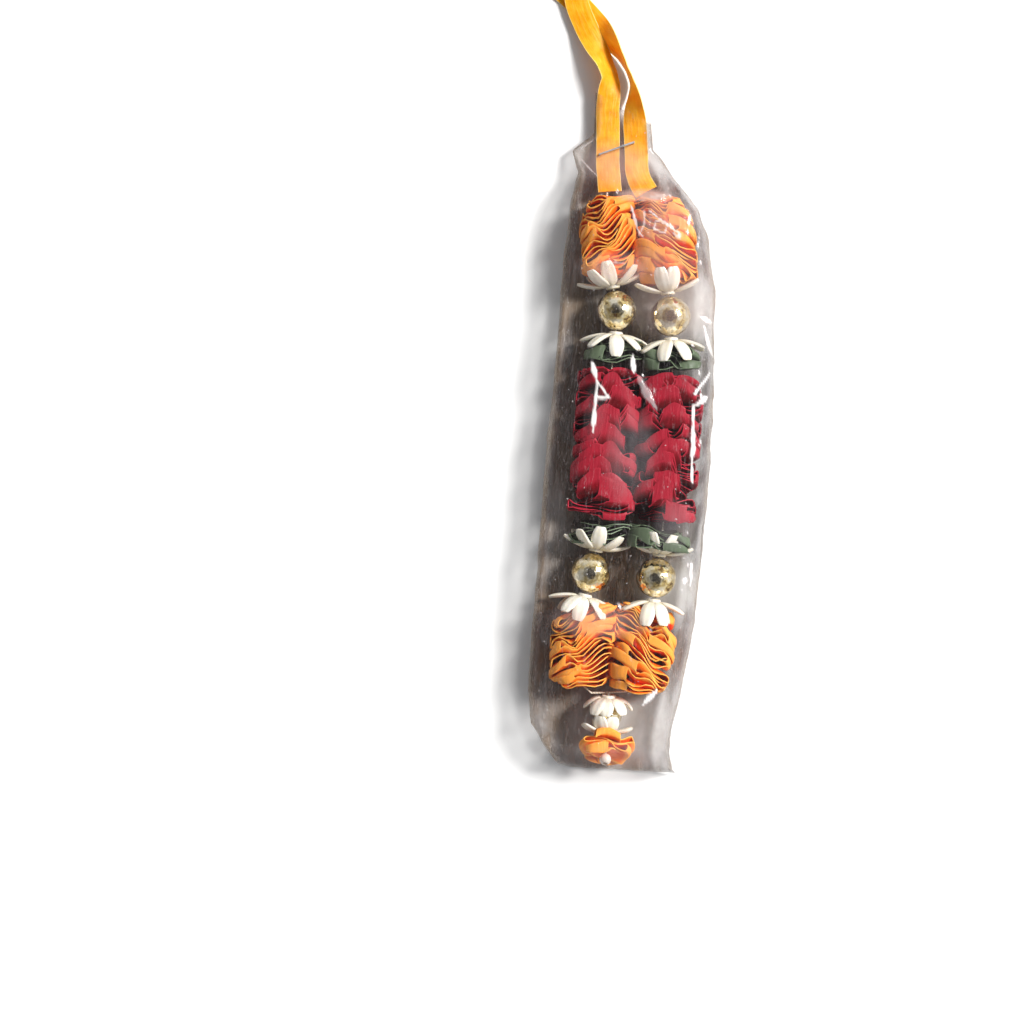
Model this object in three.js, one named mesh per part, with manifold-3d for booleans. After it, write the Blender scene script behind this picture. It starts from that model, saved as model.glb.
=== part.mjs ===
// An artificial flower garland of pleated satin ribbon, plastic petal flowers and gold beads,
// lying in the clear stapled bag it is kept in. Two strands hang side by side from a neck ribbon
// and join in a small pendant. Millimetres. +Y runs up the garland to the bag's mouth, +Z is up
// from the surface it lies on, and the origin is under the middle of the bag.
import * as THREE from 'three';
import { mergeVertices } from 'three/addons/utils/BufferGeometryUtils.js';
import Module from 'manifold-3d';

const wasm = await Module();
wasm.setup();

// Driving dimensions
const GAP = 0.4; // left between pieces that touch
const AXIS_HEIGHT = 8.6; // the threads' height above the surface
const HALF_HEIGHT = 7.4; // the bag squeezes every pleated ribbon to this, up and down
const BLADE = 0.8; // thickness of folded ribbon
const CORE_RADIUS = 2.3; // the bunched middle of a pleated ribbon
const BORE_RADIUS = 1.15; // the hole that the thread runs through
const THREAD_RADIUS = 0.32;
const DOUBLED_THREAD_RADIUS = 0.5; // both strands' threads together, in the pendant
const BEAD_RADIUS = 6.4;
const PENDANT_BEAD_RADIUS = 4.6;
const STOP_BEAD = { radius: 1.9, bore: 0.9 };
const HUB = { radius: 2.3, height: 1.8 };
const PETAL = { count: 8, length: 8.5, width: 3.3, thickness: 1.6, root: 1.5 };
const NECK_RIBBON = { width: 7.5, thickness: 1 };
const FILM = 0.6; // the bag's wall
const BAG_ROUNDING = 3; // how square the bag's section is: 2 is an oval
const STAPLE = {
  wire: 0.5, crown: 11.6, clinch: 4, crownHeight: 6.4, clinchHeight: 0.62, hole: 0.6,
  x: -9.05, y: 89.5, turn: 0.4,
};

// How each colour of ribbon is folded: its width, the pitch from fold to fold, the turn of each fold
// from the last and of the middle one in radians, the slope of the folds along the thread (lean up
// and down, tilt to and fro), and how far they fan out, as shares. Each run between folds is as long
// as RUN gives, from its least by a random share, and the turn sways by SWAY to either side.
const SATIN = {
  orange: {
    colour: 0xff8c1e, width: 14, pitch: 2.6, twist: 0.3, start: 0.2, lean: 0.2, tilt: 0.14, fan: 0.1,
  },
  red: {
    colour: 0xc00a28, width: 14, pitch: 4.2, twist: 0.8, start: 0.9, lean: 0.42, tilt: 0.2, fan: 0.03,
  },
  green: {
    colour: 0x3a4a32, width: 13, pitch: 2.6, twist: 0.5, start: 0.3, lean: 0.3, tilt: 0.12, fan: 0.04,
  },
};

const RUN = { least: 0.98, spread: 0.22 };
const SWAY = 0.35;

// How a pleated ribbon narrows at an end: to which share of its width and of its height, over what
// length each, and which way its folds bend there, 1 being out.
const ENDS = {
  square: { across: 0.9, up: 0.9, acrossDepth: 3, upDepth: 3, way: 1 },
  rounded: { across: 0.72, up: 0.72, acrossDepth: 3, upDepth: 3, way: 1 },
  petals: { across: 0.5, up: 0.36, acrossDepth: 4, upDepth: 9, way: -1.5 }, // petals press on it
};

// The strands from the top down. A ribbon's row is its name, its colour, its length along the
// thread, half its width, and its high and its low end.
const STRANDS = [
  {
    side: 'left',
    top: 74.2,
    petalTurn: 0,
    route: [
      [-11.3, 74.8], [-10.3, 60], [-8.2, 47], [-5.9, 37.4], [-5.8, 29], [-6.3, 20], [-7, 6],
      [-7.5, -20], [-7.4, -34], [-8.2, -42], [-9.6, -50], [-10.9, -57], [-11.2, -65],
      [-11, -74], [-9.4, -84.6],
    ],
    pieces: [
      { ribbon: 'orange_top', satin: 'orange', length: 27.9, half: 9.2, ends: ['rounded', 'petals'] },
      { flower: 'flower_above_bead_top', droop: 1 },
      { bead: 'bead_top' },
      { flower: 'flower_below_bead_top', droop: -1 },
      { ribbon: 'green_top', satin: 'green', length: 8, half: 9.6, ends: ['petals', 'rounded'] },
      { ribbon: 'red', satin: 'red', length: 49.9, half: 10.6, ends: ['square', 'square'] },
      { ribbon: 'green_bottom', satin: 'green', length: 7.6, half: 9.7, ends: ['rounded', 'petals'] },
      { flower: 'flower_above_bead_bottom', droop: 1 },
      { bead: 'bead_bottom' },
      { flower: 'flower_below_bead_bottom', droop: -1 },
      { ribbon: 'orange_bottom', satin: 'orange', length: 26, half: 9.8, ends: ['petals', 'rounded'] },
    ],
  },
  {
    side: 'right',
    top: 74.8,
    petalTurn: Math.PI / 8,
    route: [
      [6.8, 75.4], [8.4, 60], [9.8, 46], [11.3, 37], [12, 29], [12.9, 20], [13.2, 5], [13.2, -20],
      [12.9, -33], [12.3, -41], [11.8, -48], [11.5, -55], [11, -62], [9.8, -71], [7.6, -82.8],
    ],
    pieces: [
      { ribbon: 'orange_top', satin: 'orange', length: 29.3, half: 10.1, ends: ['rounded', 'petals'] },
      { flower: 'flower_above_bead_top', droop: 1 },
      { bead: 'bead_top' },
      { flower: 'flower_below_bead_top', droop: -1 },
      { ribbon: 'green_top', satin: 'green', length: 8.2, half: 9.6, ends: ['petals', 'rounded'] },
      { ribbon: 'red', satin: 'red', length: 49.6, half: 10.6, ends: ['square', 'square'] },
      { ribbon: 'green_bottom', satin: 'green', length: 7.2, half: 9.7, ends: ['rounded', 'petals'] },
      { flower: 'flower_above_bead_bottom', droop: 1 },
      { bead: 'bead_bottom' },
      { flower: 'flower_below_bead_bottom', droop: -1 },
      { ribbon: 'orange_bottom', satin: 'orange', length: 26.2, half: 9.8, ends: ['petals', 'rounded'] },
    ],
  },
];

// The pendant's thread from the junction down, as [x, y, z]. Past its bead it turns up, so the
// small ribbon shows its low end and the stop bead there.
const PENDANT_ROUTE = [
  [-1, -84.9, 8.6], [-1, -88, 8.2], [-1, -92.2, 8], [-1, -96, 7.9], [-1, -97.8, 8],
  [-1, -99.5, 8.2], [-1, -102, 9.5], [-1, -103.9, 10.8], [-1, -105.9, 12.2],
];
const PENDANT_PETALS = {
  top: { droop: -1, turn: 0, length: 7.2, side: [4, 58], top: [10, 80] },
  bottom: { droop: 1, turn: Math.PI / 8, length: 7.2, side: [0, 24], top: [16, 84] },
};
const PENDANT_RIBBON = {
  satin: 'orange', length: 5.6, half: 10.2, height: 7, ends: ['rounded', 'rounded'],
};
const PENDANT_SEED = 2001;

// The neck ribbon's middle line as [x, y, z, roll in degrees]: 0 lies flat, 90 stands on its edge.
// It runs from the left strand out of the mouth, round one loop and back to the right strand.
const NECK_ROUTE = [
  [-10.4, 75.2, 8.5, 0], [-11, 80.2, 6.4, 0], [-11.6, 85.4, 4.4, 0], [-11.8, 91, 3.6, 0],
  [-12.2, 97.5, 3.4, 0], [-12.6, 102.5, 3.5, 0], [-12.4, 107.6, 3.7, 12], [-12.4, 112.4, 4.1, 42],
  [-14.4, 117.2, 3.9, 40], [-17.8, 122.8, 2.9, 16], [-21.3, 129, 2.1, 0], [-24.6, 136.4, 1.95, 0],
  [-25.8, 144.5, 2.3, 25], [-24.6, 152, 3.9, 65],
  [-21.6, 160, 3.9, 90], [-17.8, 168, 3.9, 90], [-15.4, 176.5, 3.9, 90], [-15.9, 185, 3.9, 90],
  [-20, 192.8, 3.9, 90], [-27, 198, 3.9, 90], [-35.8, 199.6, 3.9, 90], [-44.5, 197.8, 3.9, 90],
  [-51.6, 192.6, 3.9, 90], [-56, 185, 3.9, 90], [-57, 176.3, 3.9, 90], [-54.8, 167.6, 3.9, 90],
  [-50, 160, 3.9, 72], [-43.4, 152.6, 2.6, 30], [-36.4, 146, 0.8, 0], [-29.6, 140.5, 0.6, 0],
  [-23.6, 135.6, 0.6, 0], [-18.2, 130.2, 1.3, 10], [-13.6, 125, 3.1, 50], [-10, 120, 4.2, 78],
  [-7.3, 115.4, 4.3, 88], [-5.4, 111.2, 4.3, 84], [-4.5, 106.8, 4.2, 62], [-4.1, 102.4, 3.8, 36],
  [-3.4, 97, 3.4, 6], [-2.8, 91.5, 3.5, 0], [-2.4, 87.2, 3.8, 0], [-2.1, 83.2, 5.1, 0],
  [-1, 79.4, 7.3, 0], [1.2, 75.8, 8.6, 0],
];

// The bag from its mouth to its welded foot: where each ring of film lies, outside, how far it
// leans along Y for each millimetre across, and how much further up its inside lies.
const BAG_RINGS = [
  { y: 101.8, left: -17.7, right: 3.1, low: 0.8, high: 7, lean: -0.58, rise: 0 },
  { y: 95.2, left: -19, right: 3.4, low: 1.1, high: 5.6, lean: -0.36, rise: 0 },
  { y: 91.2, left: -19, right: 4.2, low: 1.3, high: 5.4, lean: -0.22, rise: 0 },
  { y: 87, left: -23.6, right: 6.9, low: 1.2, high: 5.7, lean: 0, rise: 0 },
  { y: 83.4, left: -21.6, right: 9.2, low: 0.8, high: 8.2, lean: 0, rise: 0 },
  { y: 79.6, left: -21.4, right: 11.8, low: 0.2, high: 12.6, lean: 0, rise: 0 },
  { y: 77.4, left: -22.2, right: 16, low: 0, high: 16, lean: 0, rise: 0 },
  { y: 71, left: -22.9, right: 19.7, low: 0, high: 17.4, lean: 0, rise: 0 },
  { y: 61.5, left: -23.7, right: 22.1, low: 0, high: 17.4, lean: 0, rise: 0 },
  { y: 46, left: -24.3, right: 25.3, low: 0, high: 17.4, lean: 0, rise: 0 },
  { y: 20, left: -25, right: 26.6, low: 0, high: 17.4, lean: 0, rise: 0 },
  { y: -10, left: -25.9, right: 27.2, low: 0, high: 17.4, lean: 0, rise: 0 },
  { y: -41, left: -26.5, right: 26.4, low: 0, high: 17.4, lean: 0, rise: 0 },
  { y: -66, left: -27.1, right: 24.8, low: 0, high: 17.4, lean: 0, rise: 0 },
  { y: -86, left: -27.2, right: 21.9, low: 0, high: 17.4, lean: 0, rise: 0 },
  { y: -96, left: -25.6, right: 20, low: 0, high: 17.4, lean: 0, rise: 0 },
  { y: -103, left: -21.2, right: 19.8, low: 0, high: 17.3, lean: 0, rise: 0 },
  { y: -108.4, left: -16.5, right: 21.2, low: 0.2, high: 14, lean: 0, rise: 0.6 },
  { y: -110, left: -12.5, right: 22.6, low: 0.6, high: 2.2, lean: 0, rise: 1 },
];
const BAG_RING_POINTS = 24;

const SURFACES = {
  satin: { roughness: 0.38, metalness: 0 },
  petal: { color: 0xf1ecdd, roughness: 0.35, metalness: 0 },
  bead: { color: 0xcdbb84, roughness: 0.2, metalness: 0.9 },
  stopBead: { color: 0xf4efe6, roughness: 0.25, metalness: 0 },
  thread: { color: 0xefe9da, roughness: 0.8, metalness: 0 },
  neck: { color: 0xe79a1a, roughness: 0.4, metalness: 0 },
  staple: { color: 0x8f9296, roughness: 0.35, metalness: 1 },
  bag: { color: 0xe4e2df, roughness: 0.1, metalness: 0, transparent: true, opacity: 0.3 },
};

const garland = new THREE.Group();

function addPiece(name, geometry, surface) {
  const mesh = new THREE.Mesh(geometry, new THREE.MeshStandardMaterial(surface));
  mesh.name = name;
  garland.add(mesh);
  return mesh;
}

// Solid geometry: joining, cutting and closing

function asSolid(geometry) {
  const bare = geometry.clone();
  bare.deleteAttribute('normal');
  bare.deleteAttribute('uv');
  const merged = mergeVertices(bare, 1e-4);
  return new wasm.Manifold(new wasm.Mesh({
    numProp: 3,
    vertProperties: new Float32Array(merged.attributes.position.array),
    triVerts: new Uint32Array(merged.index.array),
  }));
}

function asGeometry(solid) {
  const mesh = solid.getMesh();
  const geometry = new THREE.BufferGeometry();
  geometry.setAttribute('position', new THREE.BufferAttribute(mesh.vertProperties, 3));
  geometry.setIndex(new THREE.BufferAttribute(mesh.triVerts, 1));
  geometry.computeVertexNormals();
  return geometry;
}

function join(geometries) {
  return geometries.map(asSolid).reduce((whole, solid) => whole.add(solid));
}

// A blade of even thickness round a grid of points; both faces are split into triangles alike.
function bladeGeometry(grid, thickness) {
  const rows = grid.length;
  const columns = grid[0].length;
  const vertices = [];
  const indices = [];
  for (const side of [0.5, -0.5]) {
    for (let row = 0; row < rows; row++) {
      for (let column = 0; column < columns; column++) {
        const along = grid[Math.min(row + 1, rows - 1)][column].clone()
          .sub(grid[Math.max(row - 1, 0)][column]);
        const across = grid[row][Math.min(column + 1, columns - 1)].clone()
          .sub(grid[row][Math.max(column - 1, 0)]);
        const normal = along.cross(across).normalize();
        vertices.push(...grid[row][column].clone().addScaledVector(normal, side * thickness));
      }
    }
  }
  const under = rows * columns;
  const quad = (a, b, c, d) => indices.push(a, b, c, a, c, d);
  for (let row = 0; row < rows - 1; row++) {
    for (let column = 0; column < columns - 1; column++) {
      const a = row * columns + column;
      quad(a, a + columns, a + columns + 1, a + 1);
      indices.push(under + a, under + a + columns + 1, under + a + columns);
      indices.push(under + a, under + a + 1, under + a + columns + 1);
    }
  }
  const rim = [];
  for (let column = 0; column < columns - 1; column++) rim.push(column);
  for (let row = 0; row < rows - 1; row++) rim.push(row * columns + columns - 1);
  for (let column = columns - 1; column > 0; column--) rim.push((rows - 1) * columns + column);
  for (let row = rows - 1; row > 0; row--) rim.push(row * columns);
  rim.forEach((here, step) => {
    const next = rim[(step + 1) % rim.length];
    quad(here, next, under + next, under + here);
  });
  const geometry = new THREE.BufferGeometry();
  geometry.setAttribute('position', new THREE.Float32BufferAttribute(vertices, 3));
  geometry.setIndex(indices);
  return geometry;
}

// A turned ring round the local Y axis, from a closed profile of [radius, height] points.
function ringGeometry(profile, sides) {
  const points = [...profile, profile[0]].map(([radius, height]) => new THREE.Vector2(radius, height));
  return new THREE.LatheGeometry(points, sides);
}

function seededRandom(seed) {
  let state = seed;
  return () => {
    state = (state * 16807) % 2147483647;
    return state / 2147483647;
  };
}

// Pleated ribbon: one ribbon laid to and fro across the thread, turning a little at each fold

function smoothRise(value) {
  const clamped = THREE.MathUtils.clamp(value, 0, 1);
  return clamped * clamped * (3 - 2 * clamped);
}

// How far the folds reach at a height, as shares of the ribbon's half width and half height.
function reach(height, length, ends) {
  const limit = { across: 1, up: 1 };
  ends.forEach((name, end) => {
    const distance = length / 2 + (end === 0 ? -height : height);
    const { across, up, acrossDepth, upDepth } = ENDS[name];
    limit.across *= across + (1 - across) * smoothRise(distance / acrossDepth);
    limit.up *= up + (1 - up) * smoothRise(distance / upDepth);
  });
  return limit;
}

function pleatGrid(satin, { length, half, ends, height: halfHeight = HALF_HEIGHT }, random) {
  const stack = (length - BLADE) / (1 + satin.fan);
  const layers = Math.round(stack / satin.pitch) + 1;
  const pitch = stack / (layers - 1);
  const rows = [];
  for (let layer = 0; layer < layers; layer++) {
    const height = -stack / 2 + layer * pitch;
    const way = layer % 2 === 0 ? 1 : -1;
    const run = half * (RUN.least + RUN.spread * random()) - pitch / 2;
    for (const part of [-1, -0.34, 0.34, 1]) rows.push([way * part * run, height]);
    if (layer < layers - 1) {
      for (const turn of [-Math.PI / 6, Math.PI / 6]) {
        rows.push([
          way * (run + (pitch / 2) * Math.cos(turn)),
          height + (pitch / 2) * (1 + Math.sin(turn)),
        ]);
      }
    }
  }
  const phases = [random(), random(), random()].map((value) => value * 2 * Math.PI);
  const wave = (2 * Math.PI) / Math.max(28, stack);
  return rows.map(([along, height]) => [-0.5, 0.5].map((part) => {
    const across = part * satin.width;
    const sway = SWAY * Math.sin(wave * height + phases[0]);
    const turn = satin.start + (satin.twist * height) / pitch + sway;
    const x = along * Math.cos(turn) - across * Math.sin(turn);
    const z = along * Math.sin(turn) + across * Math.cos(turn);
    const limit = reach(height, length, ends);
    const farX = x / ((half - BLADE / 2) * limit.across);
    const farZ = z / ((halfHeight - BLADE / 2) * limit.up);
    const far = Math.cbrt(Math.abs(farX) ** 3 + Math.abs(farZ) ** 3);
    const held = 1 / (1 + far ** 6) ** (1 / 6);
    const middle = 1 - ((2 * height) / stack) ** 2;
    const slopeX = satin.tilt * Math.sin(wave * height + phases[1]);
    const slopeZ = satin.lean + satin.tilt * Math.sin(wave * height + phases[2]);
    const rise = middle * held * (x * slopeX + z * slopeZ);
    const spread = satin.fan * ENDS[ends[height > 0 ? 0 : 1]].way * height * Math.min(1, (far * held) ** 2);
    return new THREE.Vector3(x * held, height + rise + spread, z * held);
  }));
}

function pleatedRibbon(ribbon, seed) {
  const { length } = ribbon;
  const fold = SATIN[ribbon.satin];
  const grid = pleatGrid(fold, ribbon, seededRandom(seed));
  const coreLength = length - 2 * BLADE;
  const core = new THREE.CylinderGeometry(CORE_RADIUS, CORE_RADIUS, coreLength, 8);
  const bore = new THREE.CylinderGeometry(BORE_RADIUS, BORE_RADIUS, length * 2, 8);
  return asGeometry(join([bladeGeometry(grid, BLADE), core]).subtract(asSolid(bore)));
}

// Petal flower: rice-grain petals round a small ring. They bend towards droop along Y, and those
// that point up or down bend more, because the bag holds them in.

function petalGeometry({ angle, length, droop, side, top }) {
  const lift = Math.sin(angle) ** 2;
  const from = THREE.MathUtils.degToRad(THREE.MathUtils.lerp(side[0], top[0], lift));
  const to = THREE.MathUtils.degToRad(THREE.MathUtils.lerp(side[1], top[1], lift));
  const sides = 3;
  const bands = [0, 0.3, 0.76, 1];
  const girths = [0.4, 1, 0.94, 0.4];
  const vertices = [];
  const indices = [];
  const outward = new THREE.Vector3(Math.cos(angle), 0, Math.sin(angle));
  const beside = new THREE.Vector3(-Math.sin(angle), 0, Math.cos(angle));
  bands.forEach((part, band) => {
    const middle = (from + (from + (to - from) * part)) / 2;
    const bend = from + (to - from) * part;
    const centre = outward.clone().multiplyScalar(PETAL.root + length * part * Math.cos(middle));
    centre.y = droop * length * part * Math.sin(middle);
    const facing = outward.clone().multiplyScalar(-Math.sin(bend));
    facing.y = droop * Math.cos(bend);
    for (let corner = 0; corner < sides; corner++) {
      const round = (corner / sides) * 2 * Math.PI - Math.PI / 6;
      const point = centre.clone()
        .addScaledVector(beside, (PETAL.width / 2) * girths[band] * Math.cos(round))
        .addScaledVector(facing, (PETAL.thickness / 2) * girths[band] * Math.sin(round));
      vertices.push(...point);
    }
  });
  const tip = (bands.length - 1) * sides;
  const hand = droop > 0 ? (a, b, c) => indices.push(a, b, c) : (a, b, c) => indices.push(a, c, b);
  for (let corner = 0; corner < sides; corner++) {
    const next = (corner + 1) % sides;
    for (let low = 0; low < tip; low += sides) {
      hand(low + corner, low + sides + next, low + next);
      hand(low + corner, low + sides + corner, low + sides + next);
    }
    if (corner > 0 && corner < sides - 1) {
      hand(0, corner, corner + 1);
      hand(tip, tip + corner + 1, tip + corner);
    }
  }
  const geometry = new THREE.BufferGeometry();
  geometry.setAttribute('position', new THREE.Float32BufferAttribute(vertices, 3));
  geometry.setIndex(indices);
  return geometry;
}

function petalFlower({ droop, turn, length = PETAL.length, side = [6, 26], top = [18, 88] }) {
  const { radius, height } = HUB;
  const hub = ringGeometry([
    [BORE_RADIUS, -height / 2], [radius, -height / 2], [radius, height / 2], [BORE_RADIUS, height / 2],
  ], 8);
  const petals = [];
  for (let petal = 0; petal < PETAL.count; petal++) {
    const angle = turn + (petal / PETAL.count) * 2 * Math.PI;
    petals.push(petalGeometry({ angle, length, droop, side, top }));
  }
  const bore = new THREE.CylinderGeometry(BORE_RADIUS, BORE_RADIUS, height * 3, 8);
  return asGeometry(join([hub, ...petals]).subtract(asSolid(bore)));
}

function drilledBead(radius, bore, bands, sides) {
  const profile = [];
  const edge = Math.asin(bore / radius);
  for (let band = 0; band <= bands; band++) {
    const angle = Math.PI - edge - (band / bands) * (Math.PI - 2 * edge);
    profile.push([radius * Math.sin(angle), radius * Math.cos(angle)]);
  }
  return ringGeometry(profile, sides);
}

// The thread

function roundSection(radius, sides) {
  const corners = [];
  for (let corner = 0; corner < sides; corner++) {
    const angle = (corner / sides) * 2 * Math.PI;
    corners.push(new THREE.Vector2(radius * Math.cos(angle), radius * Math.sin(angle)));
  }
  return new THREE.Shape(corners);
}

function threadGeometry(points, radius, steps) {
  const extrudePath = new THREE.CatmullRomCurve3(points, false, 'centripetal');
  return new THREE.ExtrudeGeometry(roundSection(radius, 5), { steps, extrudePath, bevelEnabled: false });
}

function strandPoints(route) {
  return route.map(([x, y]) => new THREE.Vector3(x, y, AXIS_HEIGHT));
}

function place(mesh, { point, tangent }) {
  mesh.position.copy(point);
  mesh.quaternion.setFromUnitVectors(new THREE.Vector3(0, 1, 0), tangent.negate());
}

function atPart(path, part) {
  return { point: path.getPoint(part), tangent: path.getTangent(part) };
}

// Where a path first passes a given y on its way down, and which way it runs there.
function atHeight(path, y) {
  let near = 0;
  let far = 1;
  for (let halving = 0; halving < 30; halving++) {
    const middle = (near + far) / 2;
    if (path.getPoint(middle).y > y) near = middle;
    else far = middle;
  }
  return atPart(path, near);
}

// Strands

STRANDS.forEach((strand, strandNumber) => {
  const path = new THREE.CatmullRomCurve3(strandPoints(strand.route), false, 'centripetal');
  let y = strand.top;
  strand.pieces.forEach((piece, pieceNumber) => {
    const length = piece.length ?? (piece.bead ? 2 * BEAD_RADIUS : HUB.height);
    const name = `${piece.ribbon ?? piece.flower ?? piece.bead}_${strand.side}`;
    let mesh;
    if (piece.ribbon) {
      const seed = 1000 + 97 * strandNumber + 31 * pieceNumber;
      const surface = { ...SURFACES.satin, color: SATIN[piece.satin].colour };
      mesh = addPiece(`ribbon_${name}`, pleatedRibbon(piece, seed), surface);
    } else if (piece.bead) {
      mesh = addPiece(name, drilledBead(BEAD_RADIUS, BORE_RADIUS, 8, 16), SURFACES.bead);
    } else {
      const flower = petalFlower({ droop: piece.droop, turn: strand.petalTurn });
      mesh = addPiece(name, flower, SURFACES.petal);
    }
    place(mesh, atHeight(path, y - length / 2));
    y -= length + GAP;
  });
});

// Pendant

const pendantPath = new THREE.CatmullRomCurve3(
  PENDANT_ROUTE.map((point) => new THREE.Vector3(...point)), false, 'centripetal',
);
const pendantPieces = [
  ['flower_pendant_top', petalFlower(PENDANT_PETALS.top), SURFACES.petal, -86.5],
  ['bead_pendant', drilledBead(PENDANT_BEAD_RADIUS, BORE_RADIUS, 8, 14), SURFACES.bead, -92.2],
  ['flower_pendant_bottom', petalFlower(PENDANT_PETALS.bottom), SURFACES.petal, -97.75],
  ['ribbon_pendant', pleatedRibbon(PENDANT_RIBBON, PENDANT_SEED),
    { ...SURFACES.satin, color: SATIN.orange.colour }, -102.2],
];
for (const [name, geometry, surface, y] of pendantPieces) {
  place(addPiece(name, geometry, surface), atHeight(pendantPath, y));
}
const stopBead = drilledBead(STOP_BEAD.radius, STOP_BEAD.bore, 6, 10);
place(addPiece('stop_bead', stopBead, SURFACES.stopBead), atPart(pendantPath, 1));

// One thread: down the left strand, round the stop bead, and up the right strand.
const junction = new THREE.Vector3(...PENDANT_ROUTE[0]);
const threads = STRANDS.map((strand) =>
  threadGeometry([...strandPoints(strand.route), junction], THREAD_RADIUS, 30));
threads.push(threadGeometry(
  PENDANT_ROUTE.map((point) => new THREE.Vector3(...point)), DOUBLED_THREAD_RADIUS, 20,
));
addPiece('thread', asGeometry(join(threads)), SURFACES.thread);

// Neck ribbon: a flat ribbon that rolls from lying to standing along its route

class RibbonRoute extends THREE.CatmullRomCurve3 {
  constructor(stops) {
    super(stops.map(([x, y, z]) => new THREE.Vector3(x, y, z)), false, 'centripetal');
    this.rolls = stops.map((stop) => THREE.MathUtils.degToRad(stop[3]));
  }

  rollAt(u) {
    const place = this.getUtoTmapping(u) * (this.rolls.length - 1);
    const before = Math.min(Math.floor(place), this.rolls.length - 2);
    return THREE.MathUtils.lerp(this.rolls[before], this.rolls[before + 1], place - before);
  }

  computeFrenetFrames(segments) {
    const frames = { tangents: [], normals: [], binormals: [] };
    for (let step = 0; step <= segments; step++) {
      const u = step / segments;
      const tangent = this.getTangentAt(u);
      const level = new THREE.Vector3(0, 0, 1).cross(tangent).normalize();
      const above = new THREE.Vector3().crossVectors(tangent, level);
      const roll = this.rollAt(u);
      const width = level.multiplyScalar(Math.cos(roll)).addScaledVector(above, Math.sin(roll));
      frames.tangents.push(tangent);
      frames.normals.push(width);
      frames.binormals.push(new THREE.Vector3().crossVectors(tangent, width));
    }
    return frames;
  }
}

function ribbonSection({ width, thickness }) {
  const [x, y] = [width / 2, thickness / 2];
  return new THREE.Shape([[x, -y], [x, y], [-x, y], [-x, -y]].map((corner) => new THREE.Vector2(...corner)));
}

// Where the staple's two legs go down, as [x, y].
const stapleLegs = [-0.5, 0.5].map((side) => [
  STAPLE.x + side * STAPLE.crown * Math.cos(STAPLE.turn),
  STAPLE.y + side * STAPLE.crown * Math.sin(STAPLE.turn),
]);
const legHoles = join(stapleLegs.map(([x, y]) => {
  const hole = new THREE.CylinderGeometry(STAPLE.hole, STAPLE.hole, 4 * STAPLE.crownHeight, 8);
  return hole.rotateX(Math.PI / 2).translate(x, y, 0);
}));

const neck = new THREE.ExtrudeGeometry(ribbonSection(NECK_RIBBON), {
  steps: 72, extrudePath: new RibbonRoute(NECK_ROUTE), bevelEnabled: false,
});
addPiece('neck_ribbon', asGeometry(asSolid(neck).subtract(legHoles)), SURFACES.neck);

// Bag: one skin of film, open at the mouth, closed at the foot

function bagRing({ y, left, right, low, high, lean, rise }, inset) {
  const centre = (left + right) / 2;
  const halfWidth = (right - left) / 2 - inset;
  const floor = low + inset;
  const ceiling = high - inset;
  const middle = (low + high) / 2;
  const power = 2 / BAG_ROUNDING;
  const flatten = 1.04;
  const ring = [];
  for (let point = 0; point < BAG_RING_POINTS; point++) {
    const angle = (point / BAG_RING_POINTS) * 2 * Math.PI;
    const across = Math.sign(Math.cos(angle)) * Math.abs(Math.cos(angle)) ** power;
    const up = Math.sign(Math.sin(angle)) * Math.abs(Math.sin(angle)) ** power;
    const x = centre + halfWidth * across;
    const z = middle + (ceiling - middle) * up * (up < 0 ? flatten : 1);
    const inside = inset > 0 ? rise : 0;
    ring.push(new THREE.Vector3(x, y + inside + lean * (x - centre), Math.max(z, floor)));
  }
  return ring;
}

function bagGeometry() {
  const outside = BAG_RINGS.map((ring) => bagRing(ring, 0));
  const inside = BAG_RINGS.map((ring) => bagRing(ring, FILM));
  const rings = [...inside.reverse(), ...outside];
  const vertices = rings.flat().flatMap((point) => [...point]);
  const indices = [];
  for (let ring = 0; ring < rings.length - 1; ring++) {
    for (let point = 0; point < BAG_RING_POINTS; point++) {
      const a = ring * BAG_RING_POINTS + point;
      const b = ring * BAG_RING_POINTS + ((point + 1) % BAG_RING_POINTS);
      indices.push(a, b, b + BAG_RING_POINTS, a, b + BAG_RING_POINTS, a + BAG_RING_POINTS);
    }
  }
  const last = (rings.length - 1) * BAG_RING_POINTS;
  for (let point = 1; point < BAG_RING_POINTS - 1; point++) {
    indices.push(0, point + 1, point);
    indices.push(last, last + point, last + point + 1);
  }
  const geometry = new THREE.BufferGeometry();
  geometry.setAttribute('position', new THREE.Float32BufferAttribute(vertices, 3));
  geometry.setIndex(indices);
  return geometry;
}

addPiece('bag', asGeometry(asSolid(bagGeometry()).subtract(legHoles)), SURFACES.bag);

// Staple: a crown on the upper film, two legs through, and their ends bent in underneath

function stapleGeometry() {
  const { wire, crown, clinch, crownHeight, clinchHeight, x, y, turn } = STAPLE;
  const bar = (length, along, up) => new THREE.BoxGeometry(length, wire, wire).translate(along, 0, up);
  const leg = (along) => new THREE.BoxGeometry(wire, wire, crownHeight - clinchHeight + wire)
    .translate(along, 0, (crownHeight + clinchHeight) / 2);
  const parts = [
    bar(crown + wire, 0, crownHeight), leg(-crown / 2), leg(crown / 2),
    bar(clinch, -(crown - clinch) / 2, clinchHeight), bar(clinch, (crown - clinch) / 2, clinchHeight),
  ];
  return asGeometry(join(parts)).rotateZ(turn).translate(x, y, 0);
}

addPiece('staple', stapleGeometry(), SURFACES.staple);

export default garland;
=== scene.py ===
import logging
import math
from dataclasses import dataclass, field
from enum import Enum
from typing import Any, Iterable, Optional, Sequence

import bpy
import numpy as np
from mathutils import Matrix, Quaternion, Vector, noise


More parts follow.
